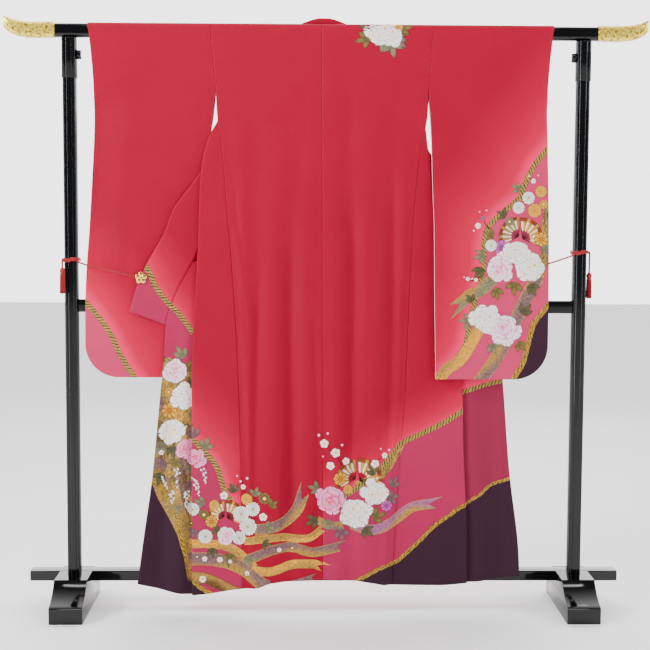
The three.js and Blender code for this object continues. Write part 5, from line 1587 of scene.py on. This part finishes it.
def lowGroup():  # across the left front and the back, by the hem
    bm = newCanvas()
    ribbon(bm, [(-206, 246), (-160, 254), (-116, 272), (-82, 306), (-66, 350)], 32, "grey", "ochre", 0.34)
    ribbon(bm, [(-236, 212), (-138, 226), (-90, 222), (-44, 226), (-12, 248)], 22, "ochre", "gold", 0.26,
           fork=False)
    ribbon(bm, [(-226, 158), (-150, 190), (-94, 196), (-34, 182), (34, 196)], 28, "grey", "ochre", 0.3,
           fork=False)
    ribbon(bm, [(-222, 132), (-160, 126), (-94, 146), (-40, 148), (-14, 140)], 26, "gold", "ochre", 0.22)
    ribbon(bm, [(-400, 160), (-325, 158), (-254, 138), (-176, 84)], 38, "grey", "ochre", 0.4, fork=False)
    ribbon(bm, [(-396, 204), (-334, 204), (-271, 190), (-204, 136)], 26, "gold", "ochre", 0.18, fork=False)
    ribbon(bm, [(-396, 106), (-343, 100), (-262, 60)], 32, "ochre", "brown", 0.2, fork=False)
    ribbon(bm, [(-200, 96), (-150, 84), (-100, 90), (-40, 108)], 16, "grey", "brown", 0.2, fork=False)
    wisteria(bm, -352, 424, 44, 0.1)
    wisteria(bm, -378, 396, 52, 0.24)
    draw(bm, [
        ("spray", -352, 482, 54, -30, "sage"), ("spray", -378, 516, 54, 20, "grey"),
        ("peony", -376, 456, 56, 130, "pink"),
        ("spray", -350, 322, 48, 70, "sage"), ("spray", -372, 244, 50, 140, "grey"),
        ("spray", -304, 246, 44, 110, "moss"),
        ("spray", -276, 176, 56, 170, "olive"), ("spray", -224, 170, 52, 200, "sage"),
        ("spray", -330, 192, 44, 190, "moss"),
        ("spray", -176, 252, 46, -80, "sage"), ("spray", -262, 356, 42, 30, "moss"),
        ("spray", -206, 346, 42, -20, "sage"),
        ("spray", -162, 318, 40, -60, "olive"), ("spray", -182, 210, 40, 250, "moss"),
        ("fan", -284, 280, 52, -56, "gold"), ("fan", -294, 284, 46, 58, "gold"),
        ("ball", -330, 270, 36, 0, "gold"),
        ("mum", -322, 318, 32, 0, "gold"), ("mum", -228, 336, 36, 10, "gold"),
        ("plum", -294, 346, 24, 0, "white"),
        ("daisy", -176, 340, 36, 0, "olive"), ("daisy", -352, 290, 32, 12, "olive"),
        ("mum", -384, 306, 40, 0, "ivory"), ("mum", -244, 292, 50, 8, "ivory"),
        ("mum", -210, 308, 44, 20, "ivory"),
        ("mum", -224, 256, 54, 30, "ivory"), ("peony", -286, 228, 56, 80, "blush"),
        ("mum", -250, 222, 42, 0, "ivory"),
        ("mum", -348, 226, 44, 20, "ivory"), ("plum", -180, 286, 24, 0, "white"),
        ("bud", -246, 388, 8, 0, "blush"), ("bud", -226, 398, 8, 0, "blush"),
        ("plum", -238, 372, 16, 0, "white"),
        ("bud", -256, 404, 6, 0, "blush"), ("leaf", -248, 360, 26, 60, "grey"),
        ("plum", -350, 160, 16, 0, "white"), ("plum", -306, 158, 18, 30, "white"),
        ("plum", -226, 118, 15, 10, "white"),
        ("plum", -276, 152, 12, 50, "white"), ("daisy", -356, 100, 22, 0, "white"),
        ("plum", -134, 190, 14, 0, "white"),
        ("bud", -372, 166, 5, 0, "white"), ("bud", -96, 194, 5, 0, "white"),
        ("daisy", -390, 262, 20, 0, "olive")])
    twig(bm, [(-232, 344), (-236, 368), (-244, 396)], 2.4, 0, 0)
    return bm


def centreGroup():  # right of the middle of the back
    bm = newCanvas()
    goldGround(bm, [(96, 366), (142, 398), (180, 432), (206, 462)], 38, 0.12, "ochre", lambda t: 1.3 - t)
    ribbon(bm, [(74, 264), (138, 248), (196, 270), (250, 310), (312, 322)], 30, "lilac", "ochre", 0.3)
    ribbon(bm, [(-24, 276), (8, 262), (48, 262)], 24, "ochre", "grey", 0.24, fork=False)
    draw(bm, [
        ("spray", 136, 284, 58, -70, "olive"), ("spray", 110, 252, 52, -130, "moss"),
        ("spray", 182, 336, 50, -70, "grey"),
        ("spray", 192, 372, 46, -30, "grey"), ("spray", 44, 250, 54, 190, "grey"),
        ("spray", -26, 280, 52, 120, "moss"),
        ("spray", 142, 410, 50, 30, "moss"), ("spray", -20, 368, 46, 80, "sage"),
        ("spray", 14, 276, 46, 160, "sage"),
        ("fan", 98, 392, 66, -56, "gold"), ("fan", 86, 396, 56, 58, "ochre"),
        ("ball", 42, 398, 38, 0, "gold"),
        ("ball", 176, 318, 32, 20, "mauve"), ("mum", 64, 366, 30, 0, "gold"),
        ("peony", 16, 338, 84, 250, "pink"), ("peony", 84, 296, 92, 100, "white"),
        ("peony", 144, 356, 76, 200, "white"),
        ("plum", -4, 500, 26, 0, "white"), ("plum", 28, 474, 27, 20, "white"),
        ("plum", 14, 436, 24, 40, "white"),
        ("plum", 58, 448, 22, 10, "white"), ("plum", 142, 442, 24, 30, "white"),
        ("plum", 170, 464, 18, 0, "white"),
        ("bud", -20, 524, 9, 0, "blush"), ("bud", 6, 530, 7, 0, "blush"), ("bud", 46, 496, 8, 0, "blush"),
        ("bud", 158, 484, 6, 0, "blush"), ("bud", 184, 480, 7, 0, "blush"), ("bud", -8, 462, 6, 0, "blush")])
    twig(bm, [(60, 412), (40, 450), (14, 486), (-12, 520)], 2.6, 0, 0)
    twig(bm, [(122, 412), (142, 440), (168, 468)], 2.4, 0, 0)
    return bm


def shoulderGroup():
    bm = newCanvas()
    draw(bm, [
        ("spray", 118, 1660, 58, 110, "olive"), ("spray", 122, 1684, 46, 70, "moss"),
        ("spray", 205, 1682, 52, -70, "olive"),
        ("spray", 202, 1664, 42, -120, "moss"), ("spray", 158, 1654, 50, 170, "sage"),
        ("spray", 182, 1650, 66, 190, "sage"),
        ("spray", 198, 1654, 46, -130, "grey"), ("mum", 200, 1690, 30, 0, "gold"),
        ("peony", 154, 1680, 84, 30, "white"),
        ("peony", 184, 1668, 62, 80, "white")])
    return bm


def movedCopy(group, move, keep=None):  # keep(x, z) says what stays, where a group runs out of its panel
    mesh = bpy.data.meshes.new("copy")
    group.to_mesh(mesh)
    bm = bmesh.new()
    bm.from_mesh(mesh)
    bpy.data.meshes.remove(mesh)
    for v in bm.verts:
        v.co.x, v.co.z = move(v.co.x, v.co.z)
    if keep:
        bmesh.ops.delete(bm, geom=[v for v in bm.verts if not keep(v.co.x, v.co.z)], context="VERTS")
    return bm


def patternPiece(name, sheetName, runs):  # runs: (group, panel, way)
    out = newCanvas()
    for group, panelName, way in runs:
        layOn(out, group, panels[panelName], way)
    for f in out.faces:
        f.smooth = True
    obj = addObject(name, out, pattern)
    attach(obj, root)
    onSheet[sheetName].append(obj)
    return obj


underCollar = {"x": -165, "z": 1540}  # nearer the middle and lower than this, the collar covers the chest
chestRows = slice(nBack + len(overT) - 3, nBack + len(overT) + int(np.argmax(frontZ < 1440)))
panels["chestLeft"] = panelTree(bodyLeftGrid, chestRows, allOf)
sleeveFlowers, wingFlowers, lowFlowers = sleeveGroup(), wingGroup(), lowGroup()
centreFlowers, shoulderFlowers = centreGroup(), shoulderGroup()
mirroredSleeve = movedCopy(sleeveFlowers, lambda x, z: (-x - 44, z - 10))
chestFlowers = movedCopy(sleeveFlowers, lambda x, z: (-(x - 500) * 0.8 - 210, (z - 1020) * 0.8 + 1560),
                         lambda x, z: x < underCollar["x"] or z > underCollar["z"])
patternPiece("patternSleeveRight", "sleeveRight",
             [(sleeveFlowers, "sleeveRight", 1), (sleeveFlowers, "sleeveRightRear", -1)])
patternPiece("patternSleeveLeft", "sleeveLeft", [(mirroredSleeve, "sleeveLeftRear", -1)])
patternPiece("patternOverlapLeft", "overlapLeft", [(wingFlowers, "wingLeft", 1), (lowFlowers, "wingLeft", 1)])
patternPiece("patternBodyLeft", "bodyLeft", [
    (lowFlowers, "frontLeft", 1), (lowFlowers, "backLeft", 1), (centreFlowers, "backLeft", 1)])
patternPiece("patternBodyRight", "bodyRight", [
    (lowFlowers, "backRight", 1), (centreFlowers, "backRight", 1), (shoulderFlowers, "backRight", 1),
    (centreFlowers, "frontRight", 1)])
patternPiece("patternChest", "bodyLeft", [(chestFlowers, "chestLeft", -1)])
print("flower groups laid")


# Floor, light.
floorMesh = bmesh.new()
bmesh.ops.create_grid(floorMesh, x_segments=1, y_segments=1, size=14)
floorLook = newMaterial("floor", (0.9, 0.9, 0.9), 0.9)[0]
floor = addObject("floor", floorMesh, floorLook)
floor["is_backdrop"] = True
world = bpy.data.worlds.new("studio")
bpy.context.scene.world = world
world.use_nodes = True
nodes, links = world.node_tree.nodes, world.node_tree.links
toward = nodes.new("ShaderNodeTexCoord")
split = nodes.new("ShaderNodeSeparateXYZ")
# pale behind the garment, dimmer in front, so that the lamps shape the folds
bright = nodes.new("ShaderNodeMapRange")
for key, value in {"From Min": -0.15, "From Max": 0.45, "To Min": 0.26, "To Max": 3.5}.items():
    bright.inputs[key].default_value = value
links.new(toward.outputs["Generated"], split.inputs["Vector"])
links.new(split.outputs["Y"], bright.inputs["Value"])
links.new(bright.outputs["Result"], nodes["Background"].inputs["Strength"])
nodes["Background"].inputs["Color"].default_value = (1, 1, 1, 1)
lamps = [
    {"name": "key", "place": (-3.4, -1.5, 2.9), "size": 1.2, "power": 145},
    {"name": "fill", "place": (3.6, -1.1, 2.3), "size": 1.2, "power": 50},
    {"name": "behind", "place": (0.8, 3.2, 2.8), "size": 2.4, "power": 60},
    {"name": "above", "place": (0, -1.1, 3.5), "size": 3.4, "tall": 0.24, "power": 42},
    {"name": "tallLeft", "place": (-4.2, -3.4, 1.2), "size": 0.24, "tall": 3.4, "power": 100,
     "tint": (0.84, 0.92, 1)},
    {"name": "tallRight", "place": (3.9, -3.6, 1.2), "size": 0.2, "tall": 3.4, "power": 66,
     "tint": (0.84, 0.92, 1)},
]
for lamp in lamps:
    data = bpy.data.lights.new(lamp["name"], "AREA")
    data.size, data.energy, data.color = lamp["size"], lamp["power"], lamp.get("tint", (1, 1, 1))
    if "tall" in lamp:
        data.shape, data.size_y = "RECTANGLE", lamp["tall"]
    obj = bpy.data.objects.new(lamp["name"], data)
    obj.location = lamp["place"]
    obj.rotation_euler = (Vector((0, 0, 0.9)) - Vector(lamp["place"])).to_track_quat("-Z", "Y").to_euler()
    bpy.context.scene.collection.objects.link(obj)
print("floor and lights made")

low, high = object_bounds()
{"cad": [list(cadBox[0]), list(cadBox[1])], "visual": [list(low), list(high)]}
